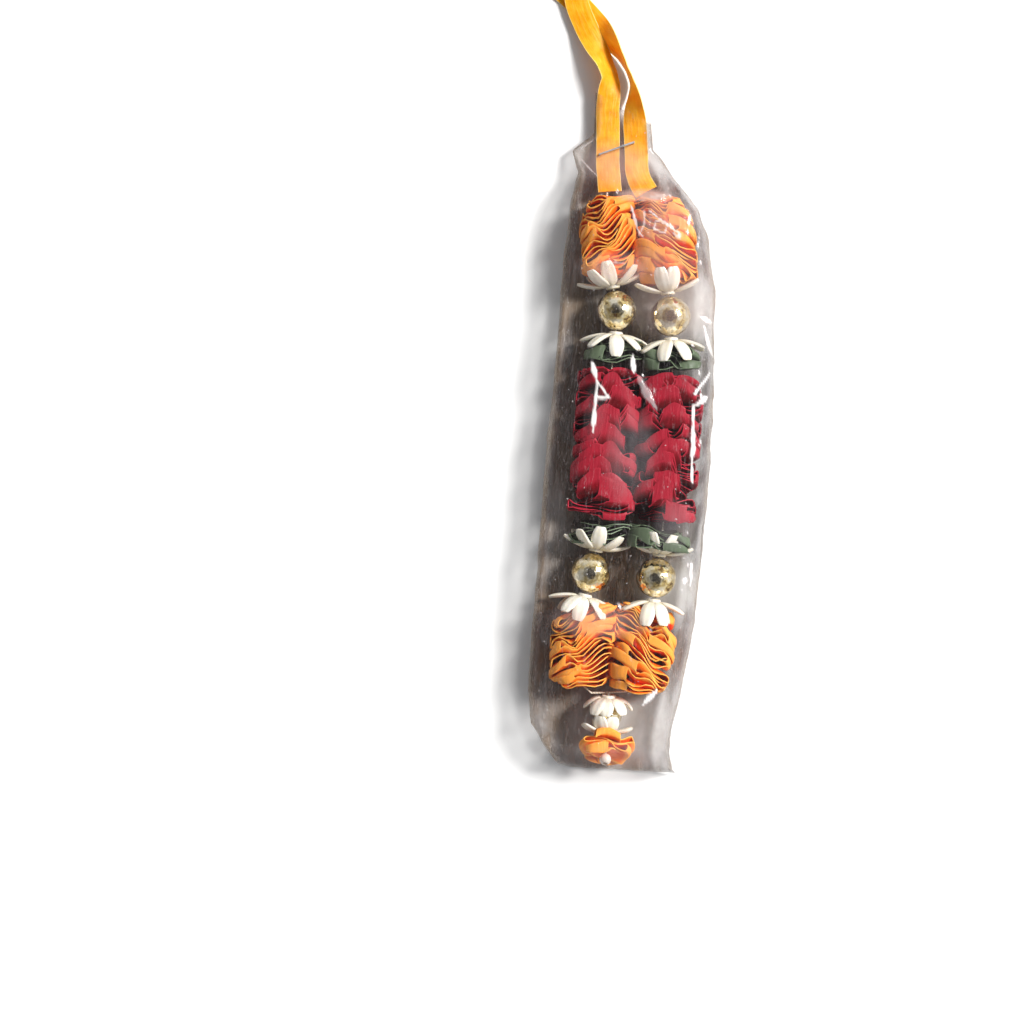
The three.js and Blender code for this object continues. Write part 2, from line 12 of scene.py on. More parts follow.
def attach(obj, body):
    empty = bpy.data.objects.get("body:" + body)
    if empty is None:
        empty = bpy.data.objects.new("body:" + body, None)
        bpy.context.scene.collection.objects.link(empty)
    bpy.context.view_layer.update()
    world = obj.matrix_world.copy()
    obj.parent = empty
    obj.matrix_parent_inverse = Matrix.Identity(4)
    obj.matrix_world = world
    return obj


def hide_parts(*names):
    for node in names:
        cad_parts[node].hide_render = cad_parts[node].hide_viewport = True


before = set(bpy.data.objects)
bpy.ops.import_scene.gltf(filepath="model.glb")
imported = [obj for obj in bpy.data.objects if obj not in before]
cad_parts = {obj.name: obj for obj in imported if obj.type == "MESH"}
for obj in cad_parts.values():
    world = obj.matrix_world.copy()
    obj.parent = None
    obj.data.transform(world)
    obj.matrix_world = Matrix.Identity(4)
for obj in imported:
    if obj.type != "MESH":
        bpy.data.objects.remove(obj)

# Lengths are metres in the frame of the solids: +Y runs up the garland to the bag's mouth and +Z is
# up from the surface it lies on. Routes, rings and seats repeat the values of the solids, so that each
# piece lies where its solid does. The folds and petals are finer here, and reach a little further.

LOG = logging.getLogger("garland")
ROOT = "root"  # the one body
PLACES = "ribbon"  # the uv layer's name

GAP = 0.0004  # between neighbours on a thread
AXIS_HEIGHT = 0.0086  # of the threads above the surface
HALF_HEIGHT = 0.0074  # of a ribbon that the bag presses flat
END_ROOM = 0.0008  # of a ribbon's length that its folds leave free
SATIN_THICKNESS = 0.0003
BORE_RADIUS = 0.00115
BEAD_RADIUS = 0.0064
PENDANT_BEAD_RADIUS = 0.0046
FIRST_SEED, STRAND_SEEDS, PLACE_SEEDS = 1000, 97, 31  # keep every ribbon's random draw its own

Points = np.ndarray
Colour = tuple[float, float, float]


def colour_of(code: str) -> Colour:
    """The linear colour of a six-figure sRGB code.

    Args:
        code: Red, green and blue as six hexadecimal figures.

    Returns:
        Red, green and blue as linear shares.
    """
    shares = [int(code[start:start + 2], 16) / 255 for start in (0, 2, 4)]
    return tuple(share / 12.92 if share <= 0.04045 else ((share + 0.055) / 1.055) ** 2.4
                 for share in shares)


def smooth_rise(value: Any) -> Any:
    """Rises softly from 0 to 1 as the value does."""
    held = np.clip(value, 0.0, 1.0)
    return held * held * (3 - 2 * held)


class SeededDraw:
    """A random draw that gives the same shares on every run."""

    FACTOR = 16807
    LIMIT = 2 ** 31 - 1

    def __init__(self, seed: int) -> None:
        """Starts the draw at a seed."""
        self.state = seed

    def __call__(self) -> float:
        """The next share from 0 to 1."""
        self.state = self.state * self.FACTOR % self.LIMIT
        return self.state / self.LIMIT


# Shaders


class NodeTree:
    """Nodes under construction, for a material or for the room's light."""

    def __init__(self, owner: Any) -> None:
        """Starts the nodes of a new material or world."""
        owner.use_nodes = True
        self.tree = owner.node_tree

    def node(self, kind: str, values: Optional[dict] = None, **settings: Any) -> bpy.types.Node:
        """Adds a node.

        Args:
            kind: The node's type, without its ShaderNode prefix.
            values: A number, colour or another node's output for each input, by name or place.
            settings: The node's own settings.

        Returns:
            The new node.
        """
        made = self.tree.nodes.new("ShaderNode" + kind)
        for setting, value in settings.items():
            setattr(made, setting, value)
        for place, value in (values or {}).items():
            if isinstance(value, bpy.types.NodeSocket):
                self.tree.links.new(value, made.inputs[place])
            else:
                made.inputs[place].default_value = value
        return made

    def math(self, operation: str, *values: Any) -> bpy.types.NodeSocket:
        """The result of one sum on numbers or outputs."""
        return self.node("Math", dict(enumerate(values)), operation=operation).outputs[0]

    def ramp(self, value: Any, low: float, high: float,
             start: float = 0.0, end: float = 1.0) -> bpy.types.NodeSocket:
        """The value spread evenly from the range low to high on to the range start to end."""
        values = {"Value": value, "From Min": low, "From Max": high, "To Min": start, "To Max": end}
        return self.node("MapRange", values).outputs[0]


class Shader(NodeTree):
    """A material under construction round one Principled surface."""

    def __init__(self, name: str, numbers: dict[str, Any]) -> None:
        """Starts a material.

        Args:
            name: The finish's name.
            numbers: What is the same all over the surface, by the shader's own socket.
        """
        self.material = bpy.data.materials.new(name)
        super().__init__(self.material)
        self.surface = self.tree.nodes["Principled BSDF"]
        for socket, number in numbers.items():
            self.surface.inputs[socket].default_value = number

    def mix(self, share: Any, first: Any, second: Any) -> bpy.types.NodeSocket:
        """Mixes two colours.

        Args:
            share: How much of the second there is, as a number or an output.
            first: A colour's code or an output.
            second: A colour's code or an output.

        Returns:
            The mixed colour.
        """
        colours = [(*colour_of(side), 1.0) if isinstance(side, str) else side for side in (first, second)]
        return self.node("Mix", {0: share, 6: colours[0], 7: colours[1]}, data_type="RGBA").outputs[2]

    def varying(self, name: str) -> bpy.types.NodeSocket:
        """What the mesh itself says of each place, from 0 to 1."""
        return self.node("Attribute", attribute_name=name).outputs["Fac"]

    def place(self, scale: Sequence[float] = (1.0, 1.0, 1.0)) -> bpy.types.NodeSocket:
        """Places on the piece in metres, stretched by a scale."""
        source = self.node("TexCoord").outputs["Object"]
        return self.node("Mapping", {"Vector": source, "Scale": scale}).outputs[0]

    def noise(self, scale: float, place: Any = None, detail: float = 2.0) -> bpy.types.NodeSocket:
        """Soft noise with so many waves to the metre."""
        place = self.place() if place is None else place
        return self.node("TexNoise", {"Vector": place, "Scale": scale, "Detail": detail}).outputs[0]

    def bump(self, height: Any, depth: float, strength: float) -> None:
        """Raises the surface by a height from 0 to 1, so many metres deep."""
        values = {"Height": height, "Distance": depth, "Strength": strength}
        self.wire("Normal", self.node("Bump", values).outputs[0])

    def wire(self, socket: str, value: bpy.types.NodeSocket) -> None:
        """Leads an output to one of the surface's own sockets."""
        self.tree.links.new(value, self.surface.inputs[socket])


@dataclass(frozen=True)
class Satin:
    """Woven satin ribbon: a face whose shine varies in streaks, fine ribs, and a painted highlight: a paler
    colour on its folds, its selvedges and in faint lengthwise streaks.
    """

    name: str
    face: str
    deep: str
    # painted highlight: the pale colour on selvedges, fold noses and streaks, which also tints the sheen
    painted_highlight: str
    roughness: float = 0.34
    sheen: float = 0.2
    # where the painted highlight on the selvedges starts, as a share across from the middle
    selvedge_start: float = 0.42
    # how much painted highlight lies on a fold's nose
    fold_highlight_share: float = 0.8
    glow: float = 0.0
    rib: float = 0.00045

    def material(self) -> bpy.types.Material:
        """Makes the material.

        Returns:
            The satin, which reads how far along and across the ribbon a place is, and its nearness to a fold
            for the painted highlight there.
        """
        shader = Shader(self.name, {
            "Specular IOR Level": 0.15, "Sheen Weight": self.sheen, "Sheen Roughness": 0.35,
            "Sheen Tint": (*colour_of(self.painted_highlight), 1.0), "Subsurface Weight": self.glow,
            "Subsurface Radius": (0.0012, 0.001, 0.0009), "Subsurface Scale": 1.0,
        })
        along = shader.node("UVMap", uv_map=PLACES).outputs[0]
        split = shader.node("SeparateXYZ", {0: along})
        side = shader.math("ABSOLUTE", shader.math("SUBTRACT", split.outputs[1], 0.5))
        streak_place = shader.node("Mapping", {"Vector": along, "Scale": (160.0, 9.0, 1.0)}).outputs[0]
        streaks = shader.noise(1.0, streak_place, 3.0)
        patches = shader.noise(240.0)
        face = shader.mix(shader.ramp(patches, 0.36, 0.64), self.deep, self.face)
        # painted sheen: faint lengthwise streaks of the highlight colour
        face = shader.mix(shader.ramp(streaks, 0.5, 0.75, 0.0, 0.14), face, self.painted_highlight)
        # painted highlight: pale selvedges and pale fold noses
        edge = shader.ramp(side, self.selvedge_start, 0.49)
        pale = shader.math("MAXIMUM", edge, shader.math("MULTIPLY", shader.varying("fold"), self.fold_highlight_share))
        shader.wire("Base Color", shader.mix(pale, face, self.painted_highlight))
        shader.wire("Roughness", shader.ramp(streaks, 0.3, 0.7, self.roughness - 0.06, self.roughness + 0.12))
        ribs = shader.math("SINE", shader.math("MULTIPLY", split.outputs[0], 2 * math.pi / self.rib))
        height = shader.math("ADD", shader.math("MULTIPLY", ribs, 0.05), streaks)
        shader.bump(height, 0.0003, 0.6)
        return shader.material


@dataclass(frozen=True)
class GoldFoil:
    """Thin metal foil on a plastic bead: pale gold, mottled, rubbed to brown in places."""

    name: str = "gold_foil"
    pale: str = "F4EBD2"
    gold: str = "D8BE7C"
    rubbed: str = "5E3F12"

    def material(self) -> bpy.types.Material:
        """Makes the material.

        Returns:
            The foil.
        """
        shader = Shader(self.name, {"Specular IOR Level": 0.6})
        mottle = shader.noise(330.0, None, 4.0)
        flakes = shader.node("TexVoronoi", {"Vector": shader.place(), "Scale": 850.0}).outputs["Distance"]
        foil = shader.mix(shader.ramp(mottle, 0.4, 0.6), self.gold, self.pale)
        bare = shader.math("MULTIPLY", shader.ramp(mottle, 0.44, 0.34), shader.ramp(flakes, 0.3, 0.62))
        shader.wire("Base Color", shader.mix(bare, foil, self.rubbed))
        shader.wire("Metallic", shader.ramp(bare, 0.0, 1.0, 1.0, 0.6))
        shader.wire("Roughness", shader.ramp(mottle, 0.3, 0.7, 0.08, 0.22))
        shader.bump(shader.math("ADD", mottle, shader.math("MULTIPLY", flakes, 0.6)), 0.0003, 0.5)
        return shader.material


@dataclass(frozen=True)
class PetalPlastic:
    """Moulded ivory plastic, a little clear, with fine lines down each petal."""

    name: str = "petal_plastic"
    ivory: str = "F3ECDD"
    root: str = "E2D3B4"

    def material(self) -> bpy.types.Material:
        """Makes the material.

        Returns:
            The plastic, which reads how far down and round the petal a place is.
        """
        shader = Shader(self.name, {
            "Subsurface Weight": 0.25, "Subsurface Radius": (0.003, 0.0024, 0.0016), "Subsurface Scale": 1.0,
            "Coat Weight": 0.3, "Coat Roughness": 0.15,
        })
        along = shader.node("UVMap", uv_map=PLACES).outputs[0]
        split = shader.node("SeparateXYZ", {0: along})
        lines = shader.math("SINE", shader.math("MULTIPLY", split.outputs[1], 12 * math.pi))
        cloud = shader.noise(420.0, None, 3.0)
        near = shader.ramp(split.outputs[0], 0.0, 0.45)
        tinted = shader.mix(near, self.root, self.ivory)
        shade = shader.ramp(cloud, 0.35, 0.7, 0.0, 0.35)
        shader.wire("Base Color", shader.mix(shade, tinted, self.root))
        shader.wire("Roughness", shader.ramp(cloud, 0.3, 0.7, 0.26, 0.42))
        shader.bump(shader.math("ADD", shader.math("MULTIPLY", lines, 0.5), cloud), 0.0002, 0.4)
        return shader.material


@dataclass(frozen=True)
class Pearl:
    """The white lacquer of the stop bead."""

    name: str = "pearl"
    white: str = "F7F3EC"
    shade: str = "DCCFBE"

    def material(self) -> bpy.types.Material:
        """Makes the material.

        Returns:
            The lacquer.
        """
        shader = Shader(self.name, {"Coat Weight": 0.5, "Coat Roughness": 0.08})
        cloud = shader.noise(700.0, None, 3.0)
        shader.wire("Base Color", shader.mix(shader.ramp(cloud, 0.35, 0.75), self.white, self.shade))
        shader.wire("Roughness", shader.ramp(cloud, 0.3, 0.7, 0.2, 0.34))
        shader.bump(cloud, 0.0001, 0.3)
        return shader.material


@dataclass(frozen=True)
class ClearFilm:
    """Crackling clear film: glossy, with painted white glints along its creases, painted pink and grey
    reflections in patches, and grey-brown where it lies double, a tint which is partly painted shade.
    """

    name: str = "clear_film"
    clear: str = "C9BFC4"
    # dull and warm: the grey-brown where the film lies double, partly the film's tint and partly painted
    # shade
    dull: str = "53443A"
    warm: str = "77644F"
    # painted highlight: the white of the glints, crease lines, sparkle and light streaks
    glint_white: str = "FBF7F3"
    # painted reflection: the pink of the film's reflections over the ribbons
    blush: str = "FFB59C"
    clear_alpha: float = 0.015
    dull_alpha: float = 0.86

    def material(self) -> bpy.types.Material:
        """Makes the material.

        Returns:
            The film, which reads from the mesh its grey-brown clouds, partly painted shade, and its painted
            glints, pink reflections and grey reflection veils.
        """
        shader = Shader(self.name, {"IOR": 1.5, "Specular IOR Level": 0.3})
        cloud, milk, blush, veil = map(shader.varying, ("cloud", "milk", "blush", "veil"))
        lengthwise = shader.noise(1.0, shader.place((520.0, 60.0, 520.0)), 4.0)
        patches = shader.noise(1.0, shader.place((240.0, 90.0, 240.0)), 3.0)
        # painted highlights: thin white lines along the crumples and white sparkle, joined with the creases'
        # painted glints
        lines = shader.ramp(shader.math("ABSOLUTE", shader.math("SUBTRACT", lengthwise, 0.5)), 0.012, 0.0)
        lines = shader.math("MULTIPLY", shader.math("MULTIPLY", lines, 0.35),
                            shader.ramp(cloud, 0.0, 0.6, 0.45, 1.0))
        painted_sparkle = shader.math("MULTIPLY", shader.ramp(shader.noise(900.0, None, 1.0), 0.74, 0.8), 0.5)
        white = shader.math("MAXIMUM", shader.math("MAXIMUM", lines, painted_sparkle), milk)
        body = shader.mix(shader.ramp(patches, 0.35, 0.65), self.dull, self.warm)
        body = shader.mix(shader.ramp(cloud, 0.0, 0.4), self.clear, body)
        # painted reflection: paler lengthwise streaks where the film lies double
        streaks = shader.noise(1.0, shader.place((220.0, 36.0, 220.0)), 4.0)
        streaks = shader.math("MULTIPLY", shader.ramp(streaks, 0.5, 0.7, 0.0, 0.24), cloud)
        body = shader.mix(streaks, body, self.glint_white)
        # painted reflection: pink patches
        body = shader.mix(blush, body, self.blush)
        shader.wire("Base Color", shader.mix(white, body, self.glint_white))
        # the grey-brown cloud, partly painted shade, hides what lies under it
        mottled = shader.math("MULTIPLY", cloud, shader.ramp(patches, 0.35, 0.65, 0.76, 1.1))
        alpha = shader.ramp(mottled, 0.0, 1.0, self.clear_alpha, self.dull_alpha)
        # painted reflection: grey veils, pink patches and white glints make the film less clear
        for extra, most in ((veil, 0.3), (blush, 0.5), (white, 0.96)):
            alpha = shader.math("MAXIMUM", alpha, shader.math("MULTIPLY", extra, most))
        shader.wire("Alpha", alpha)
        crackle = shader.noise(420.0, None, 3.0)
        shader.wire("Roughness", shader.math("ADD", shader.ramp(crackle, 0.3, 0.7, 0.05, 0.16),
                                             shader.math("MULTIPLY", cloud, 0.4)))
        shader.bump(shader.math("ADD", crackle, lengthwise), 0.0004, 0.5)
        return shader.material


@dataclass(frozen=True)
class Cotton:
    """Plied cotton thread."""

    name: str = "cotton"
    pale: str = "EFE9DA"
    shade: str = "B9AC90"

    def material(self) -> bpy.types.Material:
        """Makes the material.

        Returns:
            The thread's material.
        """
        shader = Shader(self.name, {"Sheen Weight": 0.3})
        wave = shader.node("TexWave", {"Vector": shader.place(), "Scale": 700.0, "Distortion": 1.5},
                           bands_direction="DIAGONAL").outputs["Fac"]
        shader.wire("Base Color", shader.mix(wave, self.shade, self.pale))
        shader.wire("Roughness", shader.ramp(wave, 0.0, 1.0, 0.9, 0.75))
        shader.bump(wave, 0.0001, 0.6)
        return shader.material


@dataclass(frozen=True)
class StapleWire:
    """Drawn steel wire with fine lengthwise scratches."""

    name: str = "staple_wire"
    bright: str = "CDCFD2"
    dull: str = "8C8E91"

    def material(self) -> bpy.types.Material:
        """Makes the material.

        Returns:
            The wire's material.
        """
        shader = Shader(self.name, {"Metallic": 0.75})
        scratches = shader.noise(1.0, shader.place((300.0, 3000.0, 3000.0)), 3.0)
        shader.wire("Base Color", shader.mix(shader.ramp(scratches, 0.3, 0.7), self.dull, self.bright))
        shader.wire("Roughness", shader.ramp(scratches, 0.3, 0.7, 0.4, 0.6))
        shader.bump(scratches, 0.00005, 0.4)
        return shader.material


@dataclass(frozen=True)
class Paper:
    """The plain pale surface under the garland."""

    name: str = "pale_floor"
    white: str = "FBFBFB"
    grain: str = "F6F6F6"

    def material(self) -> bpy.types.Material:
        """Makes the material.

        Returns:
            The floor's material.
        """
        shader = Shader(self.name, {"Roughness": 0.9, "Specular IOR Level": 0.1})
        cloud = shader.noise(60.0)
        shader.wire("Base Color", shader.mix(cloud, self.white, self.grain))
        return shader.material


# Shapes


@dataclass
class Shell:
    """A mesh under construction, with its places along and across as uv."""

    vertices: Points
    faces: list
    uv: Points
    shares: dict = field(default_factory=dict)  # what varies over it from 0 to 1, by attribute

    def carried(self, seat: "Seat") -> "Shell":
        """The same shell moved to its seat."""
        turn = np.array(seat.turn.to_matrix())
        return Shell(self.vertices @ turn.T + np.array(seat.point), self.faces, self.uv, self.shares)


def merged(shells: Iterable[Shell]) -> Shell:
    """Joins shells into one mesh.

    Args:
        shells: The shells, which all vary by the same attributes.

    Returns:
        Several shells as one.
    """
    shells, faces, start = list(shells), [], 0
    for shell in shells:
        faces.extend([[start + corner for corner in face] for face in shell.faces])
        start += len(shell.vertices)
    vertices = np.concatenate([shell.vertices for shell in shells])
    uv = np.concatenate([shell.uv for shell in shells])
    shares = {name: np.concatenate([shell.shares[name] for shell in shells]) for name in shells[0].shares}
    return Shell(vertices, faces, uv, shares)


def blade(grid: Points, thickness: float) -> Shell:
    """A closed blade of even thickness round a grid of points.

    Args:
        grid: Points by row, along the ribbon, and by column, across it.
        thickness: From face to face.

    Returns:
        The blade, with uv in metres along and from 0 to 1 across.
    """
    rows, columns = grid.shape[:2]
    normal = np.cross(np.gradient(grid, axis=0), np.gradient(grid, axis=1))
    normal /= np.linalg.norm(normal, axis=2, keepdims=True)
    vertices = np.concatenate([(grid + side * thickness * normal).reshape(-1, 3) for side in (0.5, -0.5)])
    index = np.arange(rows * columns).reshape(rows, columns)
    upper = np.stack([index[:-1, :-1], index[1:, :-1], index[1:, 1:], index[:-1, 1:]], -1).reshape(-1, 4)
    under = rows * columns
    rim = np.concatenate([index[0, :-1], index[:-1, -1], index[-1, :0:-1], index[:0:-1, 0]])
    after = np.roll(rim, -1)
    sides = np.stack([rim, after, after + under, rim + under], -1)
    faces = np.concatenate([upper, upper[:, ::-1] + under, sides]).tolist()
    steps = np.linalg.norm(np.diff(grid[:, columns // 2], axis=0), axis=1)
    along = np.concatenate([[0.0], np.cumsum(steps)])
    places = np.broadcast_arrays(along[:, None], np.linspace(0, 1, columns)[None, :])
    uv = np.stack(places, -1).reshape(-1, 2)
    return Shell(vertices, faces, np.concatenate([uv, uv]))


def loft(rings: Points, closed: bool = False, foot: bool = False, head: bool = False) -> Shell:
    """Skins a stack of rings.

    Args:
        rings: Points by ring and round each ring.
        closed: Whether the last ring meets the first.
        foot: Whether the first ring is filled.
        head: Whether the last ring is filled.

    Returns:
        The skin, with uv from 0 to 1 along the stack and round the rings.
    """
    count, sides = rings.shape[:2]
    index = np.arange(count * sides).reshape(count, sides)
    low = index if closed else index[:-1]
    high = np.roll(index, -1, axis=0) if closed else index[1:]
    faces = np.stack([low, np.roll(low, -1, 1), np.roll(high, -1, 1), high], -1).reshape(-1, 4).tolist()
    if foot:
        faces.append(index[0, ::-1].tolist())
    if head:
        faces.append(index[-1].tolist())
    places = np.broadcast_arrays(np.linspace(0, 1, count)[:, None], np.linspace(0, 1, sides)[None, :])
    return Shell(rings.reshape(-1, 3), faces, np.stack(places, -1).reshape(-1, 2))


def turned(profile: Sequence[Sequence[float]], sides: int) -> Shell:
    """Turns a ring round the local Y axis.

    Args:
        profile: Its closed section, as pairs of radius and height.
        sides: How many points there are round the axis.

    Returns:
        The ring.
    """
    angles = np.linspace(0, 2 * math.pi, sides, endpoint=False)
    rings = [[(radius * math.cos(angle), height, radius * math.sin(angle)) for angle in angles]
             for radius, height in profile]
    return loft(np.array(rings), closed=True)


def placed(name: str, data: bpy.types.ID) -> bpy.types.Object:
    """Puts a mesh, light or camera into the scene.

    Args:
        name: The object's name.
        data: What it shows.

    Returns:
        The new object.
    """
    made = bpy.data.objects.new(name, data)
    bpy.context.scene.collection.objects.link(made)
    return made


def add_piece(node: str, finish: str, shell: Shell, material: bpy.types.Material,
              sharp_degrees: float = 60.0) -> bpy.types.Object:
    """Adds a finished piece in place of its solid.

    Args:
        node: The solid that it stands for.
        finish: What the piece is made of, which ends its name.
        shell: Its mesh, in place.
        material: Its material.
        sharp_degrees: Edges that turn further than this stay crisp.

    Returns:
        The piece, which rides on the one body.
    """
    name = f"{node}_{finish}"
    mesh = bpy.data.meshes.new(name)
    mesh.from_pydata(shell.vertices.tolist(), [], shell.faces)
    corners = np.empty(len(mesh.loops), np.int32)
    mesh.loops.foreach_get("vertex_index", corners)
    layer = mesh.uv_layers.new(name=PLACES)
    layer.data.foreach_set("uv", shell.uv[corners].astype(np.float32).ravel())
    mesh.shade_smooth()
    mesh.set_sharp_from_angle(angle=math.radians(sharp_degrees))
    mesh.materials.append(material)
    for share, values in shell.shares.items():
        attribute = mesh.attributes.new(share, "FLOAT", "POINT")
        attribute.data.foreach_set("value", values.astype(np.float32))
    piece = placed(name, mesh)
    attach(piece, ROOT)
    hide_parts(node)
    LOG.info("%s: %d faces", name, len(mesh.polygons))
    return piece


# Routes


@dataclass
class Seat:
    """Where a piece sits on its thread, and the turn that brings its own +Y up the thread."""

    point: Vector
    turn: Quaternion


class Route:
    """The centripetal Catmull-Rom curve that the solids follow."""

    HALVINGS = 30
    DENSE = 60  # points for each stop where the curve's length is measured

    def __init__(self, stops: Sequence[Sequence[float]]) -> None:
        """Keeps the points that the curve passes through."""
        self.stops = np.array(stops, float)

    def _cubic(self, part: float) -> tuple[Points, float]:
        """Fits the span at a share of the stops.

        Args:
            part: The share, from 0 at the first stop to 1 at the last.

        Returns:
            The span's four coefficients, and the place in it from 0 to 1.
        """
        place = min(max(part, 0.0), 1.0) * (len(self.stops) - 1)
        index = min(int(place), len(self.stops) - 2)
        start, end = self.stops[index], self.stops[index + 1]
        before = self.stops[index - 1] if index else 2 * start - end
        after = self.stops[index + 2] if index + 2 < len(self.stops) else 2 * end - start
        steps = [math.sqrt(np.linalg.norm(b - a)) for a, b in ((before, start), (start, end), (end, after))]
        leave = ((start - before) / steps[0] - (end - before) / (steps[0] + steps[1])
                 + (end - start) / steps[1]) * steps[1]
        arrive = ((end - start) / steps[1] - (after - start) / (steps[1] + steps[2])
                  + (after - end) / steps[2]) * steps[1]
        bend = -3 * start + 3 * end - 2 * leave - arrive
        return np.array([start, leave, bend, 2 * start - 2 * end + leave + arrive]), place - index

    def point(self, part: float) -> Points:
        """The point at a share of the stops."""
        cubic, place = self._cubic(part)
        return cubic[0] + place * (cubic[1] + place * (cubic[2] + place * cubic[3]))

    def tangent(self, part: float) -> Points:
        """Finds the way that the curve runs.

        Args:
            part: The share of the stops.

        Returns:
            The way, with a length of 1.
        """
        cubic, place = self._cubic(part)
        way = cubic[1] + place * (2 * cubic[2] + 3 * place * cubic[3])
        return way / np.linalg.norm(way)

    def seat(self, part: float) -> Seat:
        """The seat of a piece at a share of the stops."""
        up = Vector(-self.tangent(part))
        return Seat(Vector(self.point(part)), Vector((0.0, 1.0, 0.0)).rotation_difference(up))

    def seat_at_height(self, y: float) -> Seat:
        """Finds where the curve first passes a place along the garland, on its way down.

        Args:
            y: The place, which halving closes in on.

        Returns:
            The seat there.
        """
        near, far = 0.0, 1.0
        for _ in range(self.HALVINGS):
            middle = (near + far) / 2
            near, far = (middle, far) if self.point(middle)[1] > y else (near, middle)
        return self.seat(near)

    def even_shares(self, step: float) -> Points:
        """Walks along the curve in even steps.

        Args:
            step: About how long each step is.

        Returns:
            The share of the stops at the end of each step.
        """
        dense = np.linspace(0, 1, self.DENSE * len(self.stops))
        points = np.array([self.point(part) for part in dense])
        lengths = np.concatenate([[0.0], np.cumsum(np.linalg.norm(np.diff(points, axis=0), axis=1))])
        count = int(round(lengths[-1] / step)) + 1
        return np.interp(np.linspace(0, lengths[-1], count), lengths, dense)


# Ribbon folded to and fro on the thread


@dataclass(frozen=True)
class EndShape:
    """How folds narrow at an end, as shares, and over what depth."""

    across: float
    up: float
    across_depth: float
    up_depth: float


class FoldEnd(Enum):
    """What a folded ribbon meets at an end."""

    SQUARE = EndShape(0.92, 0.9, 0.003, 0.003)
    ROUNDED = EndShape(0.5, 0.76, 0.008, 0.003)
    PETALS = EndShape(0.76, 0.4, 0.0035, 0.008)
    CUPPED = EndShape(0.55, 0.4, 0.007, 0.008)
    BUD = EndShape(0.76, 0.76, 0.003, 0.003)


@dataclass(frozen=True)
class Fold:
    """How a colour of ribbon is gathered on its thread."""

    width: float  # of the ribbon
    pitch: float  # along the thread, from one pass to the next
    twist: float  # turn round the thread, in radians for each metre along it
    start: float  # turn of the middle pass
    spread: float  # how far a fold may point away from that turn, in radians
    puff: float  # how far a fold swells past its pitch, each way
    laid: float  # how far the folds that the bag presses on are laid over, as a share
    flare: float  # how far the selvedges wave
    drift: float  # how far a fold may stray along the thread
    slope: float  # how far the passes climb from the outer side to the inner one, as a share
    least: float  # the shortest fold, as a share of the ribbon's half width
    curl: float  # how far the folds' edges fall short of their middles, as a share
    finish: Satin
    slot: str


ORANGE_SATIN = Satin("orange_satin", "FE740F", "F55E05", "FFB44E", 0.38, 0.08, 0.42, 0.7, 0.08)
RED_SATIN = Satin("red_satin", "7C0414", "5A020A", "B8243A", 0.4, 0.02, 0.455, 0.6, 0.05)
GREEN_SATIN = Satin("green_satin", "1D2818", "0B1109", "75856A", 0.3, 0.03, 0.45, 0.55)


class Gather(Enum):
    """The ways that the garland's ribbons are gathered, each in its own colour."""

    ORANGE = Fold(0.0148, 0.0013, 28.0, 0.05, 1.0, 0.00048, 0.3, 0.0013, 0.0013, 0.5, 0.8, 0.08,
                  ORANGE_SATIN, "orange_satin")
    ROSETTE = Fold(0.0085, 0.00055, 260.0, 0.4, 2.4, 0.0007, 0.8, 0.0009, 0.0016, 0.0, 0.72, 0.2,
                   ORANGE_SATIN, "orange_satin")
    RED = Fold(0.0088, 0.0007, 120.0, 0.9, 3.4, 0.0008, 0.9, 0.0009, 0.0012, 0.0, 0.92, 0.17,
               RED_SATIN, "red_satin")
    GREEN = Fold(0.0125, 0.0011, 190.0, 0.3, 1.8, 0.0006, 0.7, 0.0010, 0.001, 0.2, 0.92, 0.12,
                 GREEN_SATIN, "green_satin")


